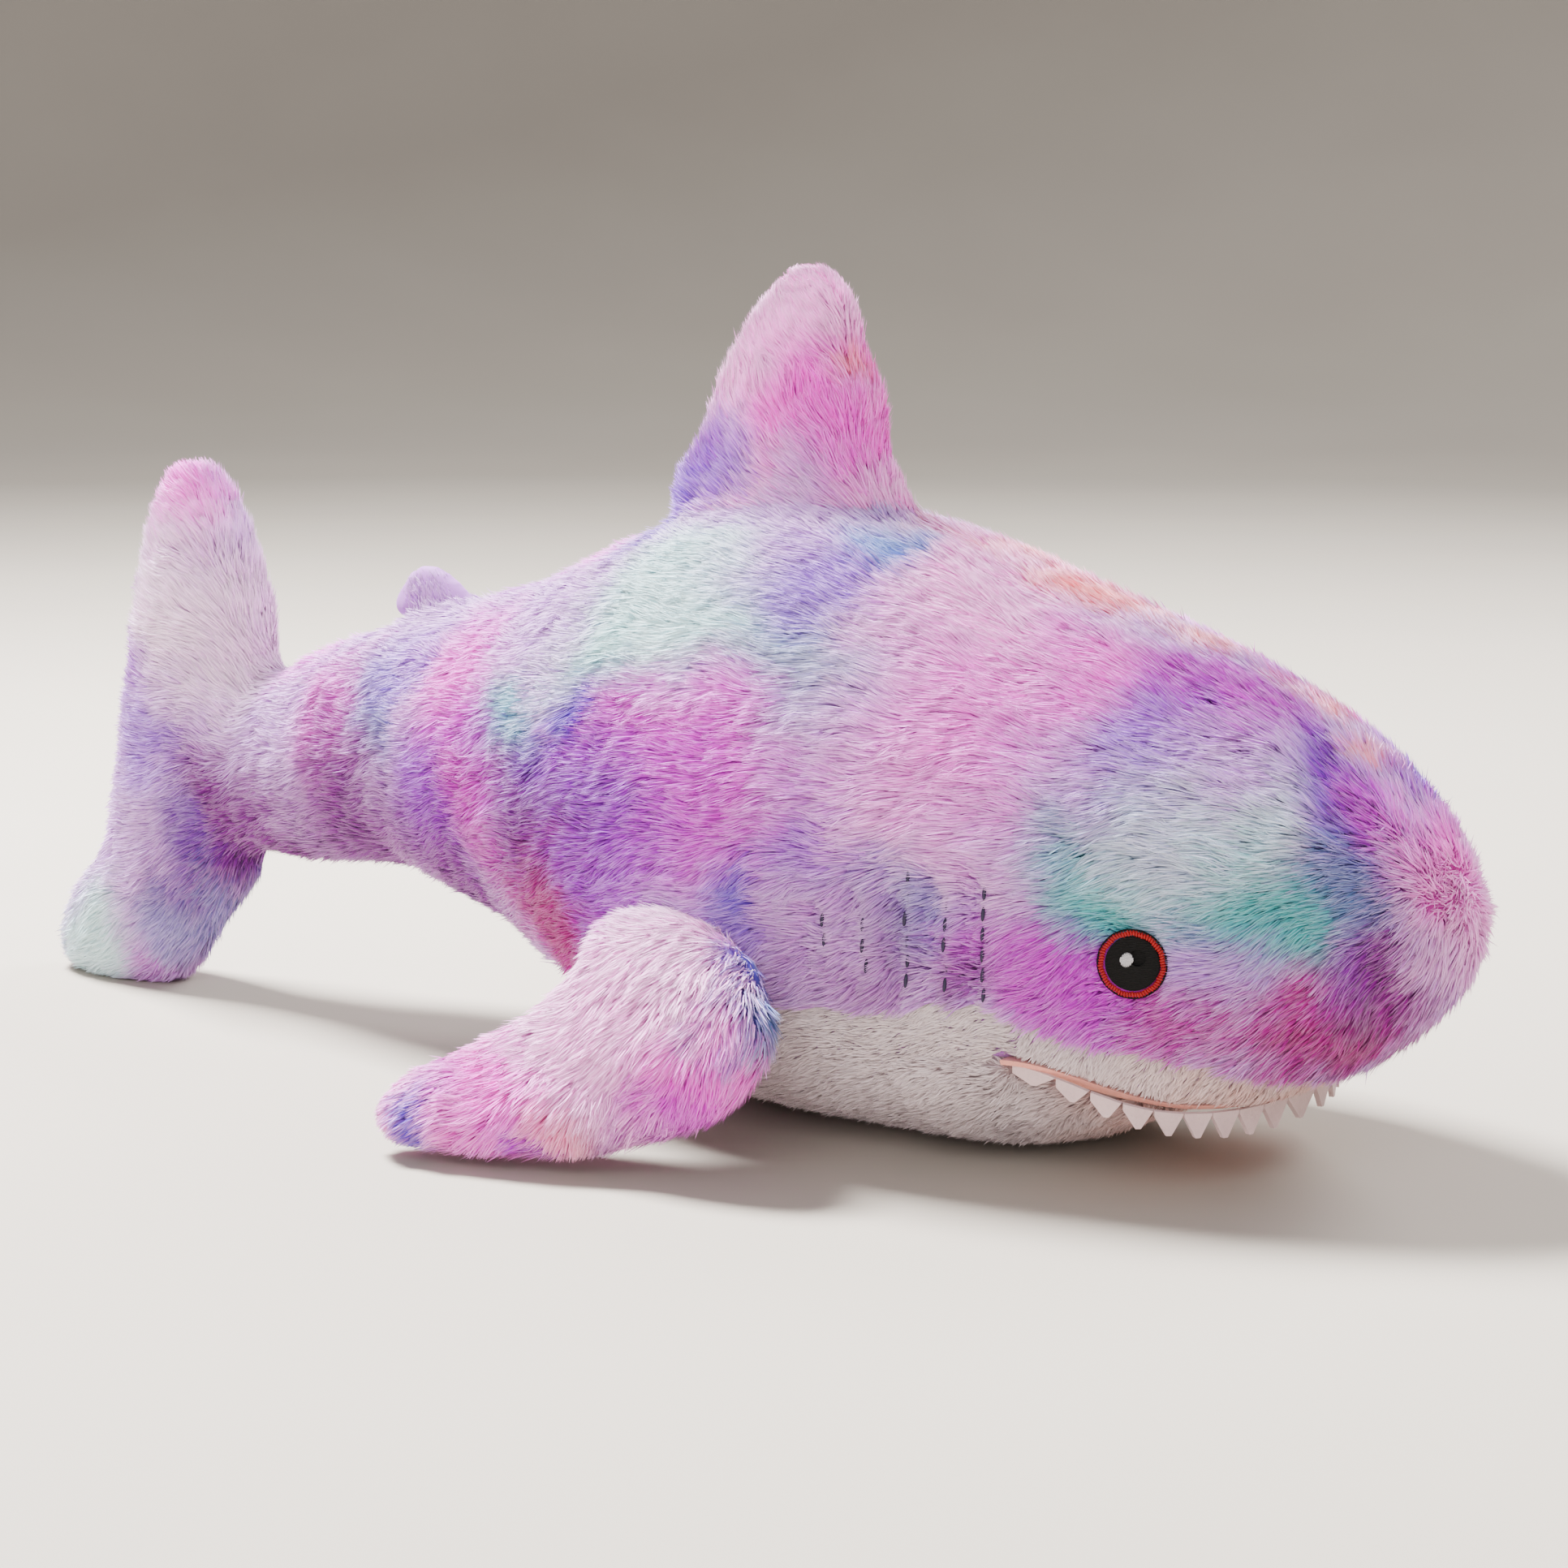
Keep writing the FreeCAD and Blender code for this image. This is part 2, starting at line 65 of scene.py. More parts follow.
SIDES = (("right", -1), ("left", 1))


def linear(red: int, green: int, blue: int) -> Colour:
    """Turns a screen colour of 0 to 255 into linear light.

    Args:
        red: Red share.
        green: Green share.
        blue: Blue share.

    Returns:
        The linear colour, each share from 0 to 1.
    """
    def one(value: int) -> float:
        """Undoes the screen curve of one share."""
        share = value / 255
        return share / 12.92 if share <= 0.04045 else ((share + 0.055) / 1.055) ** 2.4
    return one(red), one(green), one(blue)


class Dye(Enum):
    """The dye baths of the tie-dyed pile, as screen colours; PEACH, SLATE_BLUE and PLUM also serve a few
    blots of painted rim light and painted shade.
    """

    SHELL_PINK = (250, 212, 242)
    CANDY_PINK = (247, 164, 234)
    LILAC = (223, 196, 232)
    LAVENDER = (196, 164, 226)
    ORCHID = (214, 128, 214)
    VIOLET = (166, 92, 196)
    PLUM = (140, 82, 146)
    INDIGO = (150, 136, 206)
    MAGENTA = (184, 46, 146)
    MINT = (136, 202, 200)
    ICE = (222, 236, 238)
    SLATE_BLUE = (150, 166, 200)
    CREAM = (250, 234, 248)
    PEACH = (255, 204, 202)
    SKY = (128, 188, 226)


# ------------------------------------------------------------------ shader maths

Number = Union[float, "Shade"]


class Shade:
    """A number that a node gives, with arithmetic that adds Math nodes."""

    def __init__(self, paint: "Paint", socket: NodeSocket) -> None:
        """Wraps a socket.

        Args:
            paint: The material that the socket belongs to.
            socket: The output to wrap.
        """
        self.paint = paint
        self.socket = socket

    def _math(self, operation: str, first: Number, second: Number) -> "Shade":
        """Adds a Math node.

        Args:
            operation: The node's operation.
            first: The first value.
            second: The second value.

        Returns:
            The node's result.
        """
        made = self.paint.node("ShaderNodeMath", {"operation": operation}, {0: first, 1: second})
        return Shade(self.paint, made.outputs[0])

    def __add__(self, other: Number) -> "Shade":
        """Sum."""
        return self._math("ADD", self, other)

    def __sub__(self, other: Number) -> "Shade":
        """Difference."""
        return self._math("SUBTRACT", self, other)

    def __rsub__(self, other: float) -> "Shade":
        """Difference from a number."""
        return self._math("SUBTRACT", other, self)

    def __mul__(self, other: Number) -> "Shade":
        """Product."""
        return self._math("MULTIPLY", self, other)

    __radd__ = __add__
    __rmul__ = __mul__

    def sine(self) -> "Shade":
        """Sine of the value in radians."""
        return self._math("SINE", self, 0.0)


class Paint:
    """One node material around a Principled shader."""

    def __init__(self, name: str, **fixed: float) -> None:
        """Starts a material.

        Args:
            name: The material's name.
            **fixed: Shader sockets that are the same all over, with spaces as underscores.
        """
        self.material = bpy.data.materials.new(name)
        self.material.use_nodes = True
        self.tree = self.material.node_tree
        self.shader = self.tree.nodes["Principled BSDF"]
        for key, value in fixed.items():
            self.shader.inputs[key.replace("_", " ")].default_value = value

    def join(self, socket: NodeSocket, value: object) -> None:
        """Links a value to an input, or sets the input's own value.

        Args:
            socket: The input.
            value: A shade, an output, a number, a vector or a colour.
        """
        if isinstance(value, Shade):
            value = value.socket
        if isinstance(value, NodeSocket):
            self.tree.links.new(value, socket)
        else:
            socket.default_value = value

    def node(self, kind: str, settings: Optional[dict] = None,
             values: Optional[dict] = None) -> Node:
        """Adds any node.

        Args:
            kind: The node's type.
            settings: Its properties, set first.
            values: Values or links of its input sockets, by name or number.

        Returns:
            The new node.
        """
        made = self.tree.nodes.new(kind)
        for key, value in (settings or {}).items():
            setattr(made, key, value)
        for key, value in (values or {}).items():
            self.join(made.inputs[key], value)
        return made

    def feed(self, socket: str, value: Union[Shade, NodeSocket]) -> None:
        """Links a value to the shader.

        Args:
            socket: The shader's input.
            value: What feeds it.
        """
        self.join(self.shader.inputs[socket], value)

    def place(self) -> NodeSocket:
        """The point being shaded, in the piece's own coordinates."""
        return self.node("ShaderNodeTexCoord").outputs["Object"]

    def attribute(self, name: str) -> Node:
        """The node that reads one of the mesh's attributes."""
        return self.node("ShaderNodeAttribute", {"attribute_name": name})

    def noise(self, vector: NodeSocket, scale: float, detail: float = 2.0) -> Node:
        """Adds a noise texture.

        Args:
            vector: Where it is read.
            scale: Its scale, per metre.
            detail: Its octaves.

        Returns:
            The noise node.
        """
        return self.node("ShaderNodeTexNoise", None,
                         {"Vector": vector, "Scale": scale, "Detail": detail})

    def mix(self, factor: Number, first: object, second: object, how: str = "MIX") -> NodeSocket:
        """Mixes two colours.

        Args:
            factor: The second colour's share.
            first: A colour or a socket.
            second: A colour or a socket.
            how: The blend type.

        Returns:
            The mixed colour.
        """
        made = self.node("ShaderNodeMix", {"data_type": "RGBA", "blend_type": how}, {0: factor})
        for index, colour in ((6, first), (7, second)):
            self.join(made.inputs[index], (*colour, 1.0) if isinstance(colour, tuple) else colour)
        return made.outputs[2]

    def vector(self, operation: str, first: object, second: object) -> Node:
        """Adds a Vector Math node.

        Args:
            operation: The node's operation.
            first: The first vector or socket.
            second: The second vector or socket.

        Returns:
            The node.
        """
        return self.node("ShaderNodeVectorMath", {"operation": operation}, {0: first, 1: second})

    def fade(self, value: Number, low: float, high: float) -> Shade:
        """A smooth step from 1 at low to 0 at high.

        Args:
            value: The value to read.
            low: Where the step starts.
            high: Where it ends.

        Returns:
            The step.
        """
        made = self.node("ShaderNodeMapRange", {"interpolation_type": "SMOOTHSTEP"},
                         {0: value, 1: low, 2: high, 3: 1.0, 4: 0.0})
        return Shade(self, made.outputs[0])

    def drift(self, place: NodeSocket, scale: float, detail: float,
              reach: float) -> NodeSocket:
        """A push that wanders from place to place.

        Args:
            place: Where it is read.
            scale: The noise's scale, per metre.
            detail: Its octaves.
            reach: The push's whole range in metres, half of it each way.

        Returns:
            The push, as a vector.
        """
        cloud = self.noise(place, scale, detail).outputs["Color"]
        return self.node("ShaderNodeVectorMath", {"operation": "MULTIPLY_ADD"},
                         {0: cloud, 1: (reach,) * 3, 2: (-reach / 2,) * 3}).outputs[0]

    def strand(self) -> tuple[NodeSocket, Shade, Shade, Shade]:
        """What each strand of pile carries: its root, how far along it, its luck and its lock's tone."""
        split = self.node("ShaderNodeSeparateXYZ", None, {0: self.attribute("strand").outputs["Vector"]})
        return (self.attribute("dye_point").outputs["Vector"],
                *(Shade(self, split.outputs[i]) for i in range(3)))

    def toned(self, colour: NodeSocket, tone: Shade) -> NodeSocket:
        """A colour made darker or lighter by a tone."""
        grey = self.node("ShaderNodeCombineXYZ", None, {0: tone, 1: tone, 2: tone}).outputs[0]
        return self.mix(1.0, colour, grey, "MULTIPLY")

    def bump(self, height: Number, distance: float, strength: float = 1.0) -> None:
        """Feeds a bump to the shader's normal.

        Args:
            height: The height, from 0 to 1.
            distance: What 1 is in metres.
            strength: The bump's strength.
        """
        made = self.node("ShaderNodeBump", None,
                         {"Height": height, "Distance": distance, "Strength": strength})
        self.feed("Normal", made.outputs[0])


# ------------------------------------------------------------------ finishes

@dataclass(frozen=True)
class Blot:
    """One soft spot of colour on the toy, in millimetres: mostly dye, with a few noted spots of painted rim
    light and painted shade.
    """

    dye: Dye
    x: float
    y: float
    z: float
    size: float
    strength: float = 1.0


def both(dye: Dye, x: float, y: float, z: float, size: float, strength: float = 1.0,
         slide: float = 12.0) -> tuple[Blot, Blot]:
    """A blot on the right side and its sister on the left, a little out of place.

    Args:
        dye: The colour.
        x: Place along the toy.
        y: Place to the right, below zero.
        z: Height.
        size: Reach.
        strength: How much it covers.
        slide: How far the left one is moved.

    Returns:
        The two blots.
    """
    turn = math.sin(x * 0.7 + z * 1.3)
    return (Blot(dye, x, y, z, size, strength),
            Blot(dye, x + slide * turn, -y, z + slide * math.cos(x * 0.9), size * (1 + 0.12 * turn),
                 strength))


TRUNK_BLOTS: tuple[Blot, ...] = (
    *both(Dye.SHELL_PINK, 145, -22, 176, 52),
    *both(Dye.SHELL_PINK, 128, -80, 122, 62, 0.75),
    *both(Dye.LILAC, 110, -86, 126, 40, 0.6),
    *both(Dye.CANDY_PINK, 158, -62, 140, 40, 0.55),
    *both(Dye.ICE, 36, -56, 168, 40),
    *both(Dye.ICE, 62, -64, 162, 36),
    *both(Dye.MINT, 92, -70, 152, 30, 0.5),
    *both(Dye.MINT, 26, -66, 154, 20, 0.35),
    *both(Dye.LAVENDER, 92, -46, 180, 26, 0.8),
    *both(Dye.SKY, 106, -22, 188, 18, 0.6),
    *both(Dye.LILAC, 40, -20, 190, 18, 0.8),
    *both(Dye.INDIGO, 14, -18, 188, 16, 0.55),
    *both(Dye.CANDY_PINK, 76, -80, 132, 34, 0.7),
    *both(Dye.ORCHID, 38, -78, 130, 30, 0.8),
    *both(Dye.MAGENTA, 50, -78, 136, 12, 0.25),
    *both(Dye.INDIGO, 24, -72, 136, 13, 0.95),
    *both(Dye.MINT, -10, -66, 130, 22, 0.85),
    *both(Dye.INDIGO, 0, -68, 118, 20, 0.6),
    *both(Dye.ORCHID, 62, -84, 104, 42, 0.85),
    *both(Dye.VIOLET, 20, -78, 98, 40, 0.9),
    *both(Dye.PLUM, -6, -70, 94, 36, 0.8),
    *both(Dye.MAGENTA, 12, -75, 68, 30, 1.0),
    *both(Dye.MAGENTA, -14, -62, 62, 24, 0.85),
    *both(Dye.VIOLET, 44, -80, 80, 26, 0.6),
    *both(Dye.ORCHID, 110, -88, 100, 32, 0.6),
    *both(Dye.INDIGO, 100, -88, 80, 18, 0.85),
    *both(Dye.LAVENDER, 128, -86, 98, 20, 0.6),
    *both(Dye.SLATE_BLUE, 152, -84, 86, 22, 0.6),
    *both(Dye.PLUM, 134, -86, 72, 24, 0.5),
    *both(Dye.ORCHID, 176, -80, 76, 22, 0.7),
    *both(Dye.ORCHID, -36, -58, 112, 32, 0.8),
    *both(Dye.CANDY_PINK, -54, -48, 140, 32, 0.85),
    *both(Dye.MAGENTA, -34, -58, 92, 18, 0.3),
    *both(Dye.SLATE_BLUE, -92, -40, 120, 18, 0.85),
    *both(Dye.LAVENDER, -86, -34, 132, 18, 0.6),
    *both(Dye.CANDY_PINK, -122, -34, 116, 26, 0.9),
    *both(Dye.VIOLET, -62, -50, 90, 28, 0.7),
    *both(Dye.PLUM, -110, -34, 80, 42, 0.85),
    *both(Dye.LILAC, -150, -24, 112, 24, 0.8),
    *both(Dye.PLUM, -176, -20, 74, 30, 0.75),
    *both(Dye.LILAC, -188, -14, 108, 22, 0.9),
    *both(Dye.CANDY_PINK, 186, -36, 156, 24, 0.7),
    *both(Dye.ORCHID, 212, -32, 152, 25, 0.95),
    *both(Dye.ORCHID, 232, -24, 146, 23, 0.95),
    *both(Dye.VIOLET, 222, -30, 149, 10, 0.4),
    *both(Dye.VIOLET, 255, -22, 126, 19, 1.0),
    *both(Dye.INDIGO, 264, -26, 114, 15, 0.7),
    *both(Dye.ORCHID, 270, -20, 112, 15, 0.85),
    *both(Dye.INDIGO, 246, -32, 128, 12, 0.35),
    *both(Dye.LAVENDER, 214, -48, 136, 22, 0.7),
    *both(Dye.LILAC, 234, -42, 128, 26, 0.95),
    *both(Dye.ICE, 246, -44, 114, 20, 0.75),
    *both(Dye.MINT, 204, -70, 102, 24, 0.5),
    *both(Dye.MINT, 208, -70, 90, 22, 0.9),
    *both(Dye.ICE, 226, -60, 108, 26, 0.7),
    *both(Dye.MINT, 242, -54, 92, 21, 0.85),
    *both(Dye.MINT, 258, -46, 88, 16, 0.75),
    *both(Dye.SLATE_BLUE, 266, -36, 100, 16, 0.75),
    *both(Dye.SLATE_BLUE, 272, -34, 84, 14, 0.8),
    *both(Dye.LAVENDER, 236, -62, 74, 18, 0.9),
    *both(Dye.ORCHID, 208, -70, 58, 24, 0.85),
    *both(Dye.ORCHID, 190, -76, 70, 22, 0.85),
    *both(Dye.MAGENTA, 228, -62, 55, 17, 0.55),
    *both(Dye.MAGENTA, 254, -48, 56, 22, 1.0),
    *both(Dye.MAGENTA, 276, -28, 60, 26, 1.0),
    *both(Dye.VIOLET, 270, -32, 70, 14, 0.7),
    *both(Dye.PLUM, 277, -28, 76, 13, 0.8),
    *both(Dye.PEACH, 262, -38, 41, 9, 0.7),
    *both(Dye.PEACH, 284, -18, 52, 10, 0.35),
    *both(Dye.MAGENTA, 267, -22, 52, 20, 0.9),
    # Plum under the snout: partly the dye there, partly painted shade of the snout's underside.
    *both(Dye.PLUM, 276, -20, 64, 18, 0.75),
    *both(Dye.MAGENTA, 22, -77, 62, 20, 0.85),
    *both(Dye.PLUM, -56, -40, 66, 28, 0.8),
    *both(Dye.PLUM, -158, -12, 60, 26, 0.85),
    *both(Dye.PLUM, 169, -77, 59, 17, 0.6),
    *both(Dye.LILAC, 126, -86, 80, 17, 0.8),
    *both(Dye.LILAC, 237, -59, 75, 15, 0.85),
    # Darker slate just above the eye: painted shade.
    *both(Dye.SLATE_BLUE, 219, -64, 89, 11, 0.6),
    *both(Dye.CREAM, -184, -6, 122, 18, 0.8),
    Blot(Dye.SHELL_PINK, 292, 2, 94, 26, 0.95),
    Blot(Dye.CANDY_PINK, 286, 0, 108, 18, 0.7),
    # Peach along the back's ridge: painted rim light from the back light.
    Blot(Dye.PEACH, 110, 4, 192, 18, 0.85),
    Blot(Dye.PEACH, 140, 6, 184, 18, 0.85),
    Blot(Dye.PEACH, 172, 8, 172, 18, 0.8),
    Blot(Dye.PEACH, 206, 8, 160, 17, 0.8),
    Blot(Dye.PEACH, 238, 8, 146, 16, 0.8),
    Blot(Dye.PEACH, 264, 8, 128, 13, 0.7),
    Blot(Dye.CREAM, 40, 60, 176, 34, 0.5),
    Blot(Dye.CANDY_PINK, -20, 10, 176, 30, 0.7),
    Blot(Dye.ORCHID, -60, 0, 160, 18, 0.4),
    Blot(Dye.CANDY_PINK, -150, 0, 134, 26, 0.7),
)
DORSAL_BLOTS: tuple[Blot, ...] = (
    *both(Dye.SHELL_PINK, 60, -6, 258, 30, 1.0, 4),
    *both(Dye.CANDY_PINK, 64, -10, 224, 27, 1.0, 6),
    *both(Dye.CANDY_PINK, 80, -10, 207, 20, 0.9, 6),
    *both(Dye.LAVENDER, 30, -12, 204, 20, 0.9, 6),
    *both(Dye.ORCHID, 24, -12, 206, 12, 0.6, 6),
    *both(Dye.LAVENDER, 18, -10, 194, 19, 1.0, 6),
    *both(Dye.INDIGO, 14, -10, 192, 10, 0.6, 6),
    *both(Dye.LILAC, 66, -16, 192, 18, 0.8, 6),
    *both(Dye.CREAM, 46, -8, 240, 10, 0.4, 5),
    *both(Dye.LAVENDER, 14, -8, 200, 17, 0.7, 5),
    # Peach on the fin's front edge: painted rim light from the back light.
    Blot(Dye.PEACH, 97, 0, 214, 11, 0.7),
    Blot(Dye.PEACH, 84, 0, 240, 11, 0.6),
)
CAUDAL_BLOTS: tuple[Blot, ...] = (
    *both(Dye.CANDY_PINK, -212, -8, 190, 24, 0.9, 4),
    *both(Dye.CREAM, -208, -12, 146, 38, 1.0, 6),
    *both(Dye.CREAM, -188, -12, 118, 22, 0.9, 6),
    *both(Dye.VIOLET, -238, -12, 128, 20, 0.7, 6),
    *both(Dye.LILAC, -196, -12, 115, 24, 0.8, 6),
    *both(Dye.LAVENDER, -232, -14, 88, 24, 0.7, 6),
    *both(Dye.PLUM, -192, -14, 72, 28, 0.9, 6),
    *both(Dye.PLUM, -208, -12, 50, 24, 0.7, 6),
    *both(Dye.INDIGO, -214, -12, 58, 16, 0.35, 6),
    *both(Dye.SLATE_BLUE, -218, -12, 32, 18, 0.5, 6),
    *both(Dye.ICE, -262, -12, 24, 28, 1.0, 5),
    *both(Dye.ORCHID, -236, -12, 10, 14, 0.6, 5),
    *both(Dye.CREAM, -188, -8, 124, 20, 0.85, 5),
)
PECTORAL_BLOTS: tuple[Blot, ...] = (
    *both(Dye.CREAM, 72, -104, 76, 34, 1.0, 5),
    *both(Dye.SHELL_PINK, 74, -118, 54, 26, 0.9, 5),
    *both(Dye.CREAM, 44, -124, 42, 22, 0.6, 5),
    *both(Dye.CANDY_PINK, 104, -120, 42, 22, 0.9, 5),
    *both(Dye.ORCHID, 96, -124, 26, 20, 0.75, 5),
    *both(Dye.SLATE_BLUE, 116, -106, 56, 17, 0.95, 5),
    *both(Dye.ICE, 124, -110, 42, 13, 0.9, 5),
    *both(Dye.INDIGO, 106, -98, 66, 12, 0.6, 5),
    *both(Dye.CANDY_PINK, 40, -138, 26, 26, 0.85, 5),
    *both(Dye.ORCHID, 14, -148, 20, 20, 0.5, 5),
    *both(Dye.PEACH, 66, -132, 16, 14, 0.5, 5),
    *both(Dye.VIOLET, 52, -142, 4, 14, 0.95, 5),
    *both(Dye.INDIGO, 18, -150, 2, 12, 0.95, 5),
    *both(Dye.PLUM, 80, -122, 8, 16, 0.8, 5),
    *both(Dye.ORCHID, 56, -101, 73, 13, 0.7, 5),
)


@dataclass(frozen=True)
class DyedPile:
    """Finish of the long dyed pile: blots of dye that bleed into one another, with painted shade towards
    each strand's root; a few blots are painted rim light and painted shade.
    """

    name: str
    ground: Dye
    blots: tuple[Blot, ...]
    bleed: float = 17 * MM
    feather: float = 5 * MM
    painted_root_shade: float = 1.75
    frost: float = 0.16
    rich: float = 1.36
    depth: float = 1.38
    core: float = 0.22
    fringe: float = 1.28
    stray: float = 7 * MM

    def make(self) -> Material:
        """Builds the material, which reads each strand's root and how far along it a point is.

        Returns:
            The material.
        """
        paint = Paint(self.name, Roughness=0.62, Specular_IOR_Level=0.22, Sheen_Weight=0.18,
                      Sheen_Roughness=0.45)
        root, along, luck, lock = paint.strand()
        wide = paint.drift(root, 16.0, 3.0, self.bleed * 4)
        fine = paint.drift(root, 75.0, 2.0, self.feather * 3)
        shift = paint.vector("ADD", wide, fine).outputs[0]
        spot = paint.vector("ADD", root, shift).outputs[0]
        colour: object = linear(*self.ground.value)
        stray = (luck - 0.5) * self.stray
        for blot in self.blots:
            centre = (blot.x * MM, blot.y * MM, blot.z * MM)
            away = Shade(paint, paint.vector("DISTANCE", spot, centre).outputs["Value"]) + stray
            cover = paint.fade(away, blot.size * MM * self.core, blot.size * MM * self.fringe)
            colour = paint.mix(cover * blot.strength, colour, linear(*blot.dye.value))
        colour = paint.node("ShaderNodeGamma", None, {0: colour, 1: self.depth}).outputs[0]
        colour = paint.node("ShaderNodeHueSaturation", None,
                            {"Saturation": self.rich, "Value": 1.0, "Color": colour}).outputs[0]
        # Painted shade deep in the pile: the colour turns darker and richer towards each strand's root.
        deep = paint.node("ShaderNodeGamma", None, {0: colour, 1: self.painted_root_shade}).outputs[0]
        body = paint.mix(paint.fade(along, 0.0, 0.75), colour, deep)
        pale = paint.mix((1 - paint.fade(along, 0.55, 1.05)) * self.frost, body, (1.0, 0.97, 1.0))
        paint.feed("Base Color", paint.toned(pale, 0.86 + luck * 0.2 + lock * 0.1))
        return paint.material


@dataclass(frozen=True)
class WhitePile:
    """Finish of the short white pile, with a warm tint towards the mouth; its white is darkened a little to
    paint the shade that the belly lies in, and it darkens towards each strand's root as painted shade.
    """

    name: str = "white_pile"
    # white is the pile's own colour, darkened a little as painted shade of the belly; shade is painted
    # shade towards each strand's root.
    white: Colour = linear(226, 210, 214)
    blush: Colour = linear(244, 190, 178)
    shade: Colour = linear(172, 148, 152)

    def make(self) -> Material:
        """Builds the material.

        Returns:
            The material.
        """
        paint = Paint(self.name, Roughness=0.7, Specular_IOR_Level=0.2, Sheen_Weight=0.15)
        root, along, luck, lock = paint.strand()
        away = Shade(paint, paint.vector("DISTANCE", root, (0.222, 0.0, 0.028)).outputs["Value"])
        patch = Shade(paint, paint.noise(root, 60.0).outputs["Fac"])
        colour = paint.mix(paint.fade(away, 0.03, 0.08) * (patch * 1.1), self.white, self.blush)
        # Painted shade: darker towards each strand's root.
        colour = paint.mix(paint.fade(along, 0.0, 0.8) * 0.75, colour, self.shade)
        paint.feed("Base Color", paint.toned(colour, 0.9 + luck * 0.12 + lock * 0.06))
        return paint.material


@dataclass(frozen=True)
class Felt:
    """Finish of pressed felt, with its matted fibres."""

    name: str
    light: Colour
    dark: Colour

    def make(self) -> Material:
        """Builds the material.

        Returns:
            The material.
        """
        paint = Paint(self.name, Roughness=0.85, Specular_IOR_Level=0.15, Sheen_Weight=0.3)
        place = paint.place()
        cloud = Shade(paint, paint.noise(place, 90.0, 4.0).outputs["Fac"])
        fibre = Shade(paint, paint.noise(place, 900.0, 3.0).outputs["Fac"])
        colour = paint.mix(cloud, self.dark, self.light)
        colour = paint.mix(fibre * 0.5, colour, self.light)
        paint.feed("Base Color", colour)
        paint.bump(fibre + cloud * 0.5, 0.5 * MM, 0.7)
        return paint.material


@dataclass(frozen=True)
class Embroidery:
    """Finish of dense satin stitches that lie side by side."""

    name: str
    thread: Colour
    shadow: Colour
    pitch: float = 0.45 * MM

    def make(self) -> Material:
        """Builds the material.

        Returns:
            The material.
        """
        paint = Paint(self.name, Roughness=0.7, Specular_IOR_Level=0.2)
        place = paint.place()
        split = paint.node("ShaderNodeSeparateXYZ", None, {0: place})
        height = Shade(paint, split.outputs[2])
        across = Shade(paint, split.outputs[0])
        sway = Shade(paint, paint.noise(place, 500.0).outputs["Fac"])
        lines = (height * (2 * math.pi / self.pitch) + sway * 4.0).sine() * 0.5 + 0.5
        breaks = (across * (2 * math.pi / (3.1 * MM)) + height * (9.0 / MM) + sway * 5.0).sine() * 0.5 + 0.5
        relief = lines * 0.75 + breaks * 0.25
        speck = Shade(paint, paint.noise(place, 1500.0).outputs["Fac"])
        paint.feed("Base Color", paint.mix(relief * 0.6 + speck * 0.4, self.shadow, self.thread))
        paint.feed("Roughness", 0.65 + speck * 0.25)
        paint.bump(relief, 0.25 * MM, 0.8)
        return paint.material


@dataclass(frozen=True)
class Thread:
    """Finish of a single twisted thread."""

    name: str
    light: Colour
    dark: Colour

    def make(self) -> Material:
        """Builds the material: fine twist over slower changes of tone.

        Returns:
            The material.
        """
        paint = Paint(self.name, Roughness=0.55, Specular_IOR_Level=0.3)
        place = paint.place()
        twist = Shade(paint, paint.noise(place, 1400.0, 2.0).outputs["Fac"])
        grain = Shade(paint, paint.noise(place, 300.0, 1.0).outputs["Fac"])
        paint.feed("Base Color", paint.mix(twist * 0.7 + grain * 0.3, self.dark, self.light))
        paint.bump(twist, 0.2 * MM, 0.6)
        return paint.material


# ------------------------------------------------------------------ the workbench

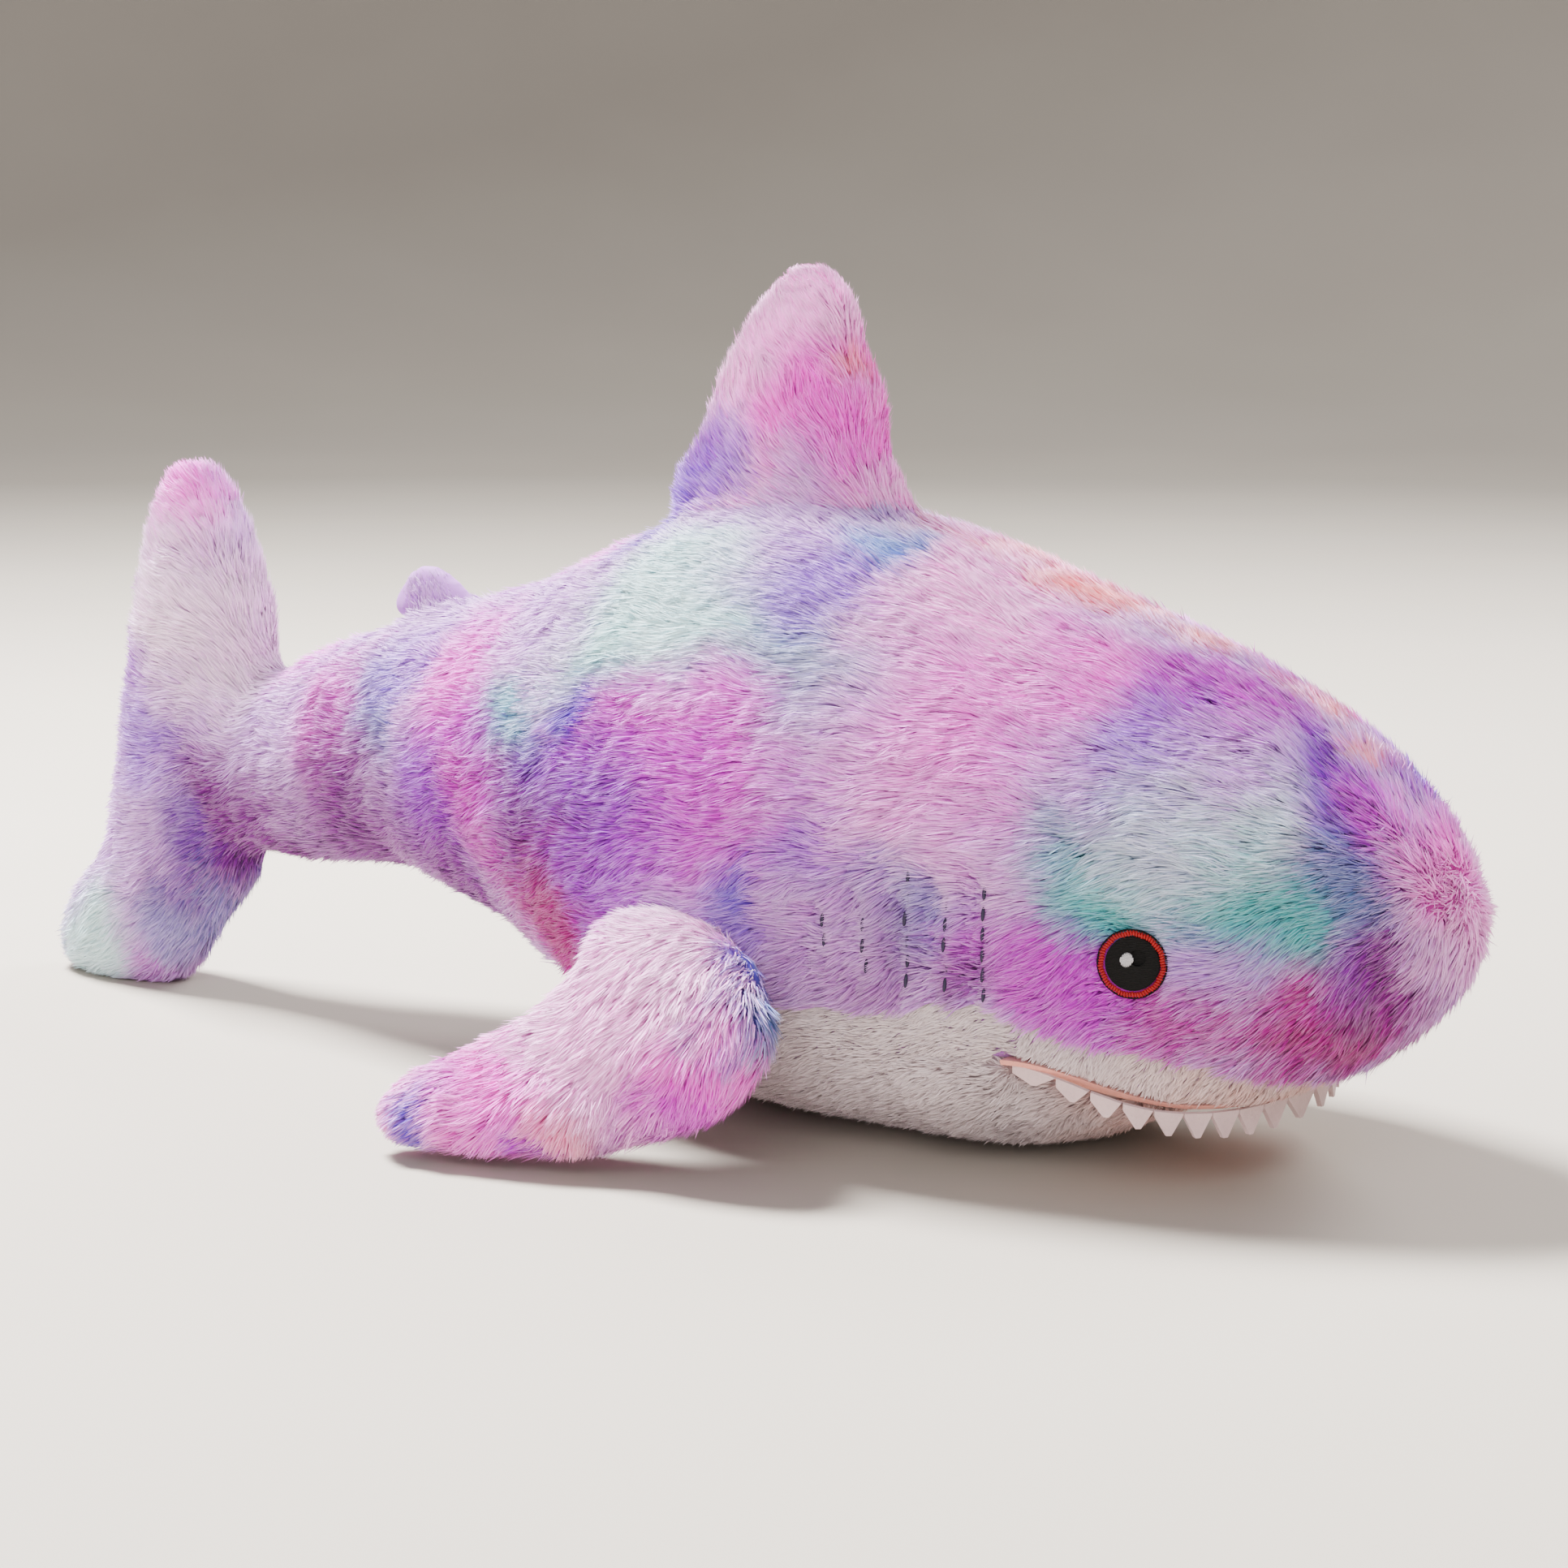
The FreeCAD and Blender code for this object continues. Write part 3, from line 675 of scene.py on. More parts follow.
class Bench:
    """Blender's own tools, one call each."""

    @staticmethod
    def take(*things: Object) -> None:
        """Selects these objects alone and makes the first one active."""
        bpy.ops.object.select_all(action="DESELECT")
        for thing in things:
            thing.select_set(True)
        bpy.context.view_layer.objects.active = things[0]

    @staticmethod
    @contextmanager
    def editing() -> Iterator[None]:
        """Puts the active object in edit mode for a few calls.

        Yields:
            Nothing.
        """
        bpy.ops.object.mode_set(mode="EDIT")
        yield
        bpy.ops.object.mode_set(mode="OBJECT")

    @staticmethod
    def settle(name: str, finish: Optional[Material] = None) -> Object:
        """Names the active object, applies where it stands and gives it a finish.

        Args:
            name: The piece's name.
            finish: Its material.

        Returns:
            The object.
        """
        thing = bpy.context.object
        thing.name = name
        thing.data.name = name
        Bench.take(thing)
        bpy.ops.object.transform_apply(location=True, rotation=True, scale=True)
        if finish:
            Bench.dress(thing, finish)
        return thing

    @staticmethod
    def dress(thing: Object, finish: Material) -> None:
        """Gives an object one material."""
        thing.data.materials.clear()
        thing.data.materials.append(finish)

    @staticmethod
    def apply(thing: Object, kind: str, **settings: object) -> None:
        """Adds a modifier and applies it.

        Args:
            thing: The object.
            kind: The modifier's type.
            **settings: Its settings.
        """
        modifier = thing.modifiers.new(kind.lower(), kind)
        for key, value in settings.items():
            setattr(modifier, key, value)
        Bench.take(thing)
        bpy.ops.object.modifier_apply(modifier=modifier.name)

    @staticmethod
    def copied(name: str, nodes: Sequence[str]) -> Object:
        """Copies CAD solids into one new object and closes their surfaces.

        Args:
            name: The new object's name.
            nodes: The solids' names.

        Returns:
            The new object.
        """
        things = []
        for node in nodes:
            thing = bpy.data.objects.new(name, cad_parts[node].data.copy())
            bpy.context.scene.collection.objects.link(thing)
            things.append(thing)
        Bench.take(*things)
        if len(things) > 1:
            bpy.ops.object.join()
        thing = Bench.settle(name)
        with Bench.editing():
            bpy.ops.mesh.select_all(action="SELECT")
            bpy.ops.mesh.remove_doubles(threshold=0.005 * MM)
            bpy.ops.mesh.customdata_custom_splitnormals_clear()
        return thing

    @staticmethod
    def doubled(thing: Object) -> Object:
        """Copies an object together with its mesh.

        Args:
            thing: The object.

        Returns:
            The copy.
        """
        twin = thing.copy()
        twin.data = thing.data.copy()
        bpy.context.scene.collection.objects.link(twin)
        return twin

    @staticmethod
    def stitch(name: str, size: tuple[float, float, float]) -> Object:
        """Models one plump stitch to copy.

        Args:
            name: Its name.
            size: Half its length, width and height.

        Returns:
            The stitch, lying along X.
        """
        bpy.ops.mesh.primitive_uv_sphere_add(segments=12, ring_count=8, radius=1.0)
        made = Bench.settle(name)
        with Bench.editing():
            bpy.ops.mesh.select_all(action="SELECT")
            bpy.ops.transform.resize(value=size, center_override=(0, 0, 0))
        bpy.ops.object.shade_smooth()
        return made

    @staticmethod
    def sewn(thing: Object, finish: Material, slot: str,
             stands_for: Optional[str] = None) -> None:
        """Dresses a piece that is sewn to the trunk.

        Args:
            thing: The piece.
            finish: Its material.
            slot: The material slot it names; not used.
            stands_for: The CAD node that it replaces.
        """
        Bench.dress(thing, finish)
        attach(thing, "torso")
        if stands_for:
            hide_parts(stands_for)

    @staticmethod
    def repeat(pattern: Object, name: str, places: Sequence["Place"]) -> Object:
        """Copies a pattern to many places, joins the copies and removes the pattern.

        Args:
            pattern: What is copied.
            name: The joined piece's name.
            places: Where each copy goes.

        Returns:
            The joined piece.
        """
        things = []
        for place in places:
            things.append(Bench.doubled(pattern))
            things[-1].matrix_world = place.matrix()
        Bench.take(*things)
        bpy.ops.object.join()
        made = Bench.settle(name)
        bpy.data.objects.remove(pattern)
        return made


@dataclass(frozen=True)
class Place:
    """Where a copy goes: its middle, the way its length runs and the way it faces."""

    middle: Vector
    along: Vector
    facing: Vector
    stretch: tuple[float, float, float] = (1.0, 1.0, 1.0)

    def matrix(self) -> Matrix:
        """Works out the placement that puts X along, Z facing and Y across.

        Returns:
            The placement.
        """
        out = self.facing.normalized()
        across = out.cross(self.along).normalized()
        along = across.cross(out)
        turn = Matrix((along, across, out)).transposed().to_4x4()
        return Matrix.Translation(self.middle) @ turn @ Matrix.Diagonal((*self.stretch, 1.0))


def mesh_points(thing: Object) -> np.ndarray:
    """Reads an object's vertices.

    Args:
        thing: The object.

    Returns:
        Their places, one to a row.
    """
    points = np.empty(len(thing.data.vertices) * 3)
    thing.data.vertices.foreach_get("co", points)
    return points.reshape(-1, 3)


def unit(vectors: np.ndarray) -> np.ndarray:
    """Each row as a vector of length one."""
    return vectors / np.maximum(np.linalg.norm(vectors, axis=1, keepdims=True), 1e-9)


# ------------------------------------------------------------------ stuffed skins

@dataclass
class Bridge:
    """Stuffing that closes a fold: the hull of what some solids have inside a box, in millimetres."""

    nodes: tuple[str, ...]
    low: Spot
    high: Spot


@dataclass
class Roots:
    """Where strands of pile start, which way the skin faces there and what was measured."""

    point: np.ndarray
    normal: np.ndarray
    fields: dict[str, np.ndarray]

    def pick(self, mask: np.ndarray) -> "Roots":
        """The roots that a mask keeps."""
        return Roots(self.point[mask], self.normal[mask], {k: v[mask] for k, v in self.fields.items()})


@dataclass
class Skin:
    """The stuffed backing cloth of one or more CAD solids, swollen by a cloth simulation."""

    name: str
    fillings: tuple[str, ...]
    stands_for: tuple[str, ...]
    bodies: tuple[str, str]
    start: Spot
    end: Spot
    bridges: tuple[Bridge, ...] = ()
    voxel: float = 4.0 * MM
    plump: float = 0.0
    cap: float = 1.2 * MM
    fill: float = 0.8
    slot: str = "dyed_pile"
    thing: Optional[Object] = None
    fields: dict[str, np.ndarray] = field(default_factory=dict)

    def sew(self) -> None:
        """Builds the skin: solids and bridges fused, swollen, smoothed and subdivided."""
        parts = [Bench.copied(self.name, self.fillings)]
        for bridge in self.bridges:
            hull = Bench.copied(self.name + "_bridge", bridge.nodes)
            points = mesh_points(hull)
            outside = ((points < np.array(bridge.low) * MM) | (points > np.array(bridge.high) * MM)).any(1)
            with Bench.editing():
                bpy.ops.mesh.select_all(action="DESELECT")
                bpy.ops.mesh.select_mode(type="VERT")
            hull.data.vertices.foreach_set("select", outside)
            with Bench.editing():
                bpy.ops.mesh.delete(type="VERT")
                bpy.ops.mesh.select_all(action="SELECT")
                bpy.ops.mesh.convex_hull()
            parts.append(hull)
        Bench.take(*parts)
        bpy.ops.object.join()
        self.thing = Bench.settle(self.name)
        if self.plump:
            Bench.apply(self.thing, "DISPLACE", strength=self.plump, mid_level=0.0)
        Bench.apply(self.thing, "REMESH", mode="VOXEL", voxel_size=self.voxel)
        Bench.apply(self.thing, "SMOOTH", factor=0.5, iterations=3)
        self.swell()
        Bench.apply(self.thing, "SUBSURF", levels=1)
        Bench.take(self.thing)
        bpy.ops.object.shade_smooth()

    def swell(self) -> None:
        """Blows the cloth up a little from inside, each point moving no further than the cap."""
        rest = mesh_points(self.thing)
        cloth = self.thing.modifiers.new("stuffing", "CLOTH")
        cloth.settings.use_pressure = True
        cloth.settings.uniform_pressure_force = 4.0
        cloth.settings.effector_weights.gravity = 0.0
        scene = bpy.context.scene
        for step in range(1, 21):
            scene.frame_set(step)
        evaluated = self.thing.evaluated_get(bpy.context.evaluated_depsgraph_get())
        moved = mesh_points(evaluated) - rest
        self.thing.modifiers.remove(cloth)
        scene.frame_set(1)
        far = np.linalg.norm(moved, axis=1, keepdims=True)
        moved *= np.minimum(1.0, self.cap / np.maximum(far, 1e-9))
        self.thing.data.vertices.foreach_set("co", (rest + moved).ravel())
        self.thing.data.update()

    def tree(self) -> BVHTree:
        """A search tree of the skin."""
        return BVHTree.FromObject(self.thing, bpy.context.evaluated_depsgraph_get())

    def measure(self, name: str, tree: BVHTree, signed: bool = False) -> None:
        """Stores how far each of the skin's points is from another surface.

        Args:
            name: What the measure is called.
            tree: The other surface.
            signed: True for below zero inside a closed surface.
        """
        found = np.empty(len(self.thing.data.vertices))
        for index, vertex in enumerate(self.thing.data.vertices):
            place, normal, _, away = tree.find_nearest(vertex.co)
            inside = signed and (vertex.co - place).dot(normal) < 0
            found[index] = -away if inside else away
        self.fields[name] = found

    def scatter(self, density: float, seed: int) -> Roots:
        """Spreads roots evenly over the skin.

        Args:
            density: Roots to the square millimetre.
            seed: What the spread is drawn from.

        Returns:
            The roots.
        """
        mesh = self.thing.data
        mesh.calc_loop_triangles()
        corners = np.empty(len(mesh.loop_triangles) * 3, int)
        mesh.loop_triangles.foreach_get("vertices", corners)
        corners = corners.reshape(-1, 3)
        points = mesh_points(self.thing)
        normals = np.empty(len(points) * 3)
        mesh.vertices.foreach_get("normal", normals)
        normals = normals.reshape(-1, 3)
        a, b, c = (points[corners[:, i]] for i in range(3))
        reach = np.cumsum(np.linalg.norm(np.cross(b - a, c - a), axis=1) / 2)
        count = int(reach[-1] / MM ** 2 * density)
        draw = np.random.default_rng(seed)
        steps = (np.arange(count) + draw.random(count)) / count * reach[-1]
        which = corners[np.minimum(np.searchsorted(reach, steps), len(corners) - 1)]
        first, second = draw.random(count), draw.random(count)
        over = first + second > 1
        first[over], second[over] = 1 - first[over], 1 - second[over]
        shares = np.stack([1 - first - second, first, second], 1)
        spots = (points[which] * shares[:, :, None]).sum(1)
        facing = unit((normals[which] * shares[:, :, None]).sum(1))
        fields = {k: (v[which] * shares).sum(1) for k, v in self.fields.items()}
        return Roots(spots, facing, fields)

    @staticmethod
    def fleece(skins: Sequence["Skin"], reach: float = 19 * MM, voxel: float = 3.6 * MM,
               rounds: int = 34) -> "Skin":
        """Fuses skins into one surface whose creases are filled in smoothly, for pile to grow from.

        Args:
            skins: The trunk's skin and the fins' skins.
            reach: How far from a crease the surface is smoothed.
            voxel: The remesh's size.
            rounds: How many times the creases are smoothed.

        Returns:
            A skin that isn't part of the toy.
        """
        Bench.take(*(Bench.doubled(skin.thing) for skin in skins))
        bpy.ops.object.join()
        made = Skin("fleece", (), (), skins[0].bodies, skins[0].start, skins[0].end)
        made.thing = Bench.settle("fleece")
        Bench.apply(made.thing, "REMESH", mode="VOXEL", voxel_size=voxel)
        trees = [skin.tree() for skin in skins]
        for skin, tree in zip(skins, trees):
            made.measure(skin.name, tree)
        away = np.stack([np.abs(values) for values in made.fields.values()], 1)
        away.sort(axis=1)
        crease = np.clip(1.3 - away[:, 1] / reach, 0, 1)
        group = made.thing.vertex_groups.new(name="crease")
        for index in np.flatnonzero(crease > 0):
            group.add([int(index)], float(crease[index]), "REPLACE")
        Bench.apply(made.thing, "SMOOTH", factor=0.6, iterations=rounds, vertex_group="crease")
        Bench.apply(made.thing, "SUBSURF", levels=1)
        made.fields.clear()
        for skin, tree in zip(skins, trees):
            made.measure(skin.name, tree, True)
        return made

    def finish(self, finish: Material) -> None:
        """Dresses the skin, gives it its dye points, hides the CAD solids that it stands for and bakes its
        placement.

        Args:
            finish: Its material.
        """
        mesh = self.thing.data
        points = mesh_points(self.thing).astype(np.float32)
        mesh.attributes.new("dye_point", "FLOAT_VECTOR", "POINT").data.foreach_set("vector", points.ravel())
        mesh.attributes.new("strand", "FLOAT_VECTOR", "POINT")
        Bench.dress(self.thing, finish)
        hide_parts(*self.stands_for)
        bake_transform(self.thing)
        LOG.info("%s: %d points", self.name, len(mesh.vertices))


# ------------------------------------------------------------------ pile

class Strand:
    """One strand of pile, modelled once: across, along and rise, for a strand of length one."""

    @staticmethod
    def cut() -> np.ndarray:
        """Shapes a small plane into a bent, pointed blade.

        Returns:
            Its four points: root, the two sides of its waist, and tip.
        """
        bpy.ops.mesh.primitive_plane_add(size=1.0)
        blade = bpy.context.object
        with Bench.editing():
            bpy.ops.mesh.select_all(action="SELECT")
            bpy.ops.transform.rotate(value=math.pi / 4, orient_axis="Z", center_override=(0, 0, 0))
            bpy.ops.transform.resize(value=(math.sqrt(0.5), math.sqrt(0.5), 1), center_override=(0, 0, 0))
            bpy.ops.transform.translate(value=(0, 0.5, 0))
        points = mesh_points(blade)
        order = np.argsort(points[:, 1] * 10 + points[:, 0])
        bpy.data.objects.remove(blade)
        return points[order]


@dataclass
class Coat:
    """A growth of pile on a skin."""

    name: str
    length: float = 11.5 * MM
    width: float = 0.6 * MM
    lean: float = 25.0
    sway: float = 0.38
    gather: float = 0.5
    slot: str = "dyed_pile"
    waist: float = 0.42
    jitter: float = 0.2
    strays: float = 0.1
    stray_rise: tuple[float, float] = (0.2, 0.75)
    bend: tuple[float, float] = (0.35, -0.28)
    twist: float = 0.9
    swirls: tuple[float, float, float] = (46 * MM, 15 * MM, 24 * MM)
    lock_sizes: tuple[float, float] = (7.5 * MM, 2.4 * MM)
    floor_gap: float = 0.3 * MM
    most: int = 95000
    grid: int = 8192

    def swirl(self, point: np.ndarray, reach: float, phase: float) -> np.ndarray:
        """A gentle wandering of directions.

        Args:
            point: Where it is read.
            reach: The wave's length in metres.
            phase: Where the waves start.

        Returns:
            One vector to each point.
        """
        turn = 2 * math.pi / reach
        x, y, z = (point * turn).T
        return np.stack([
            np.sin(y * 1.1 + z * 0.7 + phase) + np.sin(x * 1.9 - z * 1.3 + phase * 2),
            np.sin(z * 0.9 + x * 1.2 + phase * 3) + np.sin(y * 2.1 + x * 0.8 - phase),
            np.sin(x * 1.0 - y * 0.8 + phase * 5) + np.sin(z * 1.7 + y * 1.5 + phase * 4)], 1) / 2

    def locks(self, point: np.ndarray, cell: float, draw: np.random.Generator) -> np.ndarray:
        """Sorts roots into locks of hair.

        Args:
            point: The roots.
            cell: How wide a lock is, in metres.
            draw: Where chance comes from.

        Returns:
            The lock's number of each root.
        """
        loose = point + self.swirl(point, cell * 5, 1.7) * cell * 0.45
        loose = loose + draw.normal(0, cell * 0.12, point.shape)
        keys = np.floor(loose / cell).astype(np.int64) + self.grid // 2
        code = (keys[:, 0] * self.grid + keys[:, 1]) * self.grid + keys[:, 2]
        return np.unique(code, return_inverse=True)[1]

    def grow(self, roots: Roots, flow: np.ndarray, share: np.ndarray, seed: int,
             blade: np.ndarray) -> tuple[np.ndarray, np.ndarray]:
        """Works out where every strand's points are.

        Args:
            roots: Where the strands start.
            flow: The way they lie.
            share: How much of the full length each has.
            seed: What chance is drawn from.
            blade: The pattern strand.

        Returns:
            The points, four to a strand, and each strand's two lots of luck.
        """
        draw = np.random.default_rng(seed)
        count = len(roots.point)
        normal = roots.normal
        long, short, middling = self.swirls
        way = unit(flow) + self.sway * self.swirl(roots.point, long, 0.3)
        way = way + self.sway * 0.8 * self.swirl(roots.point, short, 2.1)
        way = way + draw.normal(0, self.jitter, way.shape)
        way = unit(way - normal * (way * normal).sum(1, keepdims=True))
        rise = np.radians(self.lean) + draw.normal(0, self.jitter, count)
        rise = rise + (draw.random(count) < self.strays) * draw.uniform(*self.stray_rise, count)
        rise = rise + 0.14 * self.swirl(roots.point, middling, 4.0)[:, 0]
        size = self.length * share * draw.uniform(0.72, 1.12, count)
        start, close = (np.cos(rise + turn)[:, None] * way + np.sin(rise + turn)[:, None] * normal
                        for turn in self.bend)
        waist = roots.point + start * (size * self.waist)[:, None]
        tip = waist + close * (size * (1 - self.waist))[:, None]
        luck = draw.random(count)
        tone = np.zeros(count)
        for cell, pull in zip(self.lock_sizes, (self.gather * 0.55, self.gather)):
            lock = self.locks(roots.point, cell, draw)
            many = np.bincount(lock).astype(float)
            middle = np.stack([np.bincount(lock, tip[:, i]) / many for i in range(3)], 1)
            to_middle = middle[lock] - tip
            tip = tip + to_middle * pull
            waist = waist + to_middle * (pull * 0.3)
            tone = tone + draw.random(len(many))[lock] / 2
        side = unit(np.cross(close, normal))
        turn = draw.uniform(-self.twist, self.twist, count)[:, None]
        side = unit(np.cos(turn) * side + np.sin(turn) * np.cross(close, side))
        wide = side * (self.width * draw.uniform(0.75, 1.25, count))[:, None]
        spine = np.stack([roots.point, waist, waist, tip], 1)
        points = spine + blade[None, :, 0, None] * wide[:, None, :]
        points[:, :, 2] = np.maximum(points[:, :, 2], self.floor_gap)
        return points, np.stack([luck, tone], 1)

    def weave(self, name: str, points: np.ndarray, luck: np.ndarray, root: np.ndarray,
              finish: Material) -> Object:
        """Makes one piece of pile out of strands.

        Args:
            name: The piece's name.
            points: Four points to a strand.
            luck: Two numbers to a strand.
            root: Where each strand starts.
            finish: Its material.

        Returns:
            The piece.
        """
        count = len(points)
        side = int(math.ceil(math.sqrt(count)))
        order = np.argsort(root[:, 0], kind="stable")
        row = np.empty(count, int)
        row[order] = np.arange(count) // side
        angle = np.arctan2(root[:, 1], root[:, 2] - 0.09)
        order = np.lexsort((angle, row))
        points, luck, root = points[order], luck[order], root[order]
        rank = np.arange(count)
        cell = np.stack([rank % side, rank // side], 1) / side
        mesh = bpy.data.meshes.new(name)
        first = rank[:, None] * 4
        corners = np.stack([first[:, 0], first[:, 0] + 2, first[:, 0] + 1,
                            first[:, 0] + 1, first[:, 0] + 2, first[:, 0] + 3], 1)
        mesh.vertices.add(count * 4)
        mesh.vertices.foreach_set("co", points.astype(np.float32).ravel())
        mesh.loops.add(count * 6)
        mesh.loops.foreach_set("vertex_index", corners.astype(np.int32).ravel())
        mesh.polygons.add(count * 2)
        mesh.polygons.foreach_set("loop_start", np.arange(0, count * 6, 3, dtype=np.int32))
        mesh.update(calc_edges=True)
        spot = np.repeat(root, 4, axis=0).astype(np.float32)
        mesh.attributes.new("dye_point", "FLOAT_VECTOR", "POINT").data.foreach_set("vector", spot.ravel())
        along = np.tile(np.array([0.0, self.waist, self.waist, 1.0]), count)
        strand = np.stack([along, np.repeat(luck[:, 0], 4), np.repeat(luck[:, 1], 4)], 1)
        mesh.attributes.new("strand", "FLOAT_VECTOR", "POINT").data.foreach_set(
            "vector", strand.astype(np.float32).ravel())
        flat = np.array([(0.5, 0.06), (0.06, 0.45), (0.94, 0.45), (0.5, 0.94)])
        chart = (cell[:, None, :] + flat[None] / side).reshape(-1, 2)
        layer = mesh.uv_layers.new(name="OFBake")
        layer.data.foreach_set("uv", chart[corners.ravel()].astype(np.float32).ravel())
        mesh.polygons.foreach_set("use_smooth", np.ones(count * 2, bool))
        thing = bpy.data.objects.new(name, mesh)
        bpy.context.scene.collection.objects.link(thing)
        Bench.dress(thing, finish)
        return thing

    def plant(self, roots: Roots, flow: np.ndarray, share: np.ndarray, seed: int,
              finish: Material, blade: np.ndarray) -> None:
        """Grows the coat on a skin, in pieces of fewer than 100,000 strands.

        Args:
            roots: The roots.
            flow: The way the pile lies.
            share: Length of each strand.
            seed: What chance is drawn from.
            finish: The pile's finish.
            blade: The pattern strand.
        """
        points, luck = self.grow(roots, flow, share, seed, blade)
        bands = int(math.ceil(len(points) / self.most))
        order = np.argsort(roots.point[:, 0], kind="stable")
        for band, chosen in enumerate(np.array_split(order, bands)):
            name = self.name if bands == 1 else f"{self.name}_{band + 1}"
            piece = self.weave(name, points[chosen], luck[chosen], roots.point[chosen], finish)
            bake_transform(piece)
            LOG.info("%s: %d strands", name, len(chosen))


# ------------------------------------------------------------------ the eyes, gills and mouth

@dataclass
class Eye:
    """One eye: an embroidered disc with a red satin edge and a pale glint."""

    side: str
    radius: float = 9.0 * MM
    edge: float = 1.5 * MM
    stitches: int = 70
    rim: float = 0.3 * MM
    gleam_half: float = 1.8 * MM
    gleam_tall: float = 2.3 * MM
    gleam_pitch: float = 0.42 * MM
    gleam_at: tuple[float, float] = (1.5 * MM, 1.3 * MM)

    def axis(self) -> Vector:
        """The way the eye looks."""
        return Vector((0.344, -0.939 if self.side == "right" else 0.939, 0.0)).normalized()

    def middle(self) -> Vector:
        """The middle of the disc."""
        low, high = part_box(f"eye_disc_{self.side}")
        return (low + high) / 2

    def build(self, red: Material, black: Material, grey: Material) -> None:
        """Makes the satin edge and dresses the disc and the glint.

        Args:
            red: The edge's thread.
            black: The disc's embroidery.
            grey: The glint's embroidery.
        """
        out = self.axis()
        side = Vector((0, 0, 1)).cross(out).normalized()
        low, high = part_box(f"eye_ring_{self.side}")
        seat = (low + high) / 2
        places = []
        for index in range(self.stitches):
            angle = 2 * math.pi * index / self.stitches
            radial = side * math.cos(angle) + Vector((0, 0, 1)) * math.sin(angle)
            tangent = out.cross(radial)
            wobble = 0.12 * MM * math.sin(index * 5.3)
            places.append(Place(seat + radial * (self.radius + wobble) + out * 0.7 * MM,
                                radial + tangent * 0.22, out, (1 + 0.08 * math.sin(index * 3.7), 1, 1)))
        stitch = Bench.stitch("stitch", (self.edge * 0.62, 0.46 * MM, 0.62 * MM))
        ring = Bench.repeat(stitch, f"eye_edge_{self.side}", places)
        Bench.sewn(ring, red, "red_embroidery", f"eye_ring_{self.side}")
        turn = out.to_track_quat("Z", "Y").to_euler()
        bpy.ops.mesh.primitive_torus_add(location=seat + out * 0.5 * MM, rotation=turn, major_segments=96,
                                         minor_segments=8, major_radius=self.radius + self.edge * 0.66,
                                         minor_radius=self.rim)
        rim = Bench.settle(f"eye_rim_{self.side}")
        bpy.ops.object.shade_smooth()
        Bench.sewn(rim, black, "black_embroidery")
        Bench.dress(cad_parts[f"eye_disc_{self.side}"], black)
        self.glint(out, side, grey)
        LOG.info("eye_%s: %d stitches", self.side, self.stitches)

    def glint(self, out: Vector, side: Vector, grey: Material) -> None:
        """Sews the pale glint: upright stitches that fill a small oval.

        Args:
            out: The way the eye looks.
            side: The level way across the eye.
            grey: The thread.
        """
        forward = -1.0 if self.side == "right" else 1.0
        level, rise = self.gleam_at
        seat = self.middle() + side * (level * forward) + Vector((0, 0, rise))
        dome = mesh_points(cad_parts[f"eye_disc_{self.side}"]) - np.array(self.middle())
        seat += out * (float((dome @ np.array(out)).max()) + 0.05 * MM)
        places = []
        for step in range(-4, 5):
            shift = step * self.gleam_pitch
            reach = self.gleam_tall * math.sqrt(max(1 - (shift / self.gleam_half) ** 2, 0.04))
            places.append(Place(seat + side * shift, Vector((0, 0, 1)) + side * 0.12, out,
                                (reach / MM, 1, 1)))
        stitch = Bench.stitch("glint_stitch", (MM, 0.3 * MM, 0.34 * MM))
        gleam = Bench.repeat(stitch, f"eye_gleam_{self.side}", places)
        Bench.sewn(gleam, grey, "grey_embroidery", f"eye_glint_{self.side}")


@dataclass
class Gills:
    """Rows of dark stitches that pinch the pile behind the head."""

    side: str
    thick: float = 0.62 * MM
    open_row: float = 0.167
    spots: np.ndarray = field(default_factory=lambda: np.zeros((0, 3)))

    def build(self, thread: Material) -> None:
        """Replaces each CAD stitch by a plump twisted one in the same place.

        Args:
            thread: The thread's finish.
        """
        node = f"gill_stitches_{self.side}"
        guide = Bench.copied("gill_guide", (node,))
        with Bench.editing():
            bpy.ops.mesh.separate(type="LOOSE")
        guides = list(bpy.context.selected_objects)
        places, spots = [], []
        outward = -1 if self.side == "right" else 1
        for index, piece in enumerate(sorted(guides, key=lambda thing: tuple(mesh_points(thing).mean(0)))):
            points = mesh_points(piece)
            middle = points.mean(0)
            axis = np.linalg.svd(points - middle, full_matrices=False)[2][0]
            reach = np.abs((points - middle) @ axis).max()
            facing = Vector((0, outward, 0.15))
            deep = 0.2 if middle[0] > self.open_row else -0.9 + 1.1 * math.sin(index * 2.3)
            places.append(Place(Vector(middle) + facing * deep * MM, Vector(axis), facing,
                                (reach * 1.05, self.thick, self.thick * 0.9)))
            spots += [middle + axis * reach * step for step in (-1.3, -0.65, 0, 0.65, 1.3)]
            bpy.data.objects.remove(piece)
        self.spots = np.array(spots)
        bpy.ops.mesh.primitive_uv_sphere_add(segments=16, ring_count=12, radius=1.0)
        stitch = Bench.settle("gill_stitch")
        bpy.ops.object.shade_smooth()
        row = Bench.repeat(stitch, f"gill_thread_{self.side}", places)
        Bench.sewn(row, thread, "gill_thread", node)
        LOG.info("gills_%s: %d stitches", self.side, len(places))


@dataclass
class Mouth:
    """The felt linings and the row of felt teeth."""

    def build(self, lining: Material, tooth: Material) -> None:
        """Dresses the solids of the mouth.

        Args:
            lining: The linings' felt.
            tooth: The teeth's felt.
        """
        for node in ("mouth_roof_lining", "mouth_floor_lining"):
            Bench.dress(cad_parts[node], lining)
        Bench.dress(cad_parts["upper_teeth"], tooth)
        LOG.info("mouth: linings and teeth")


# ------------------------------------------------------------------ the shark

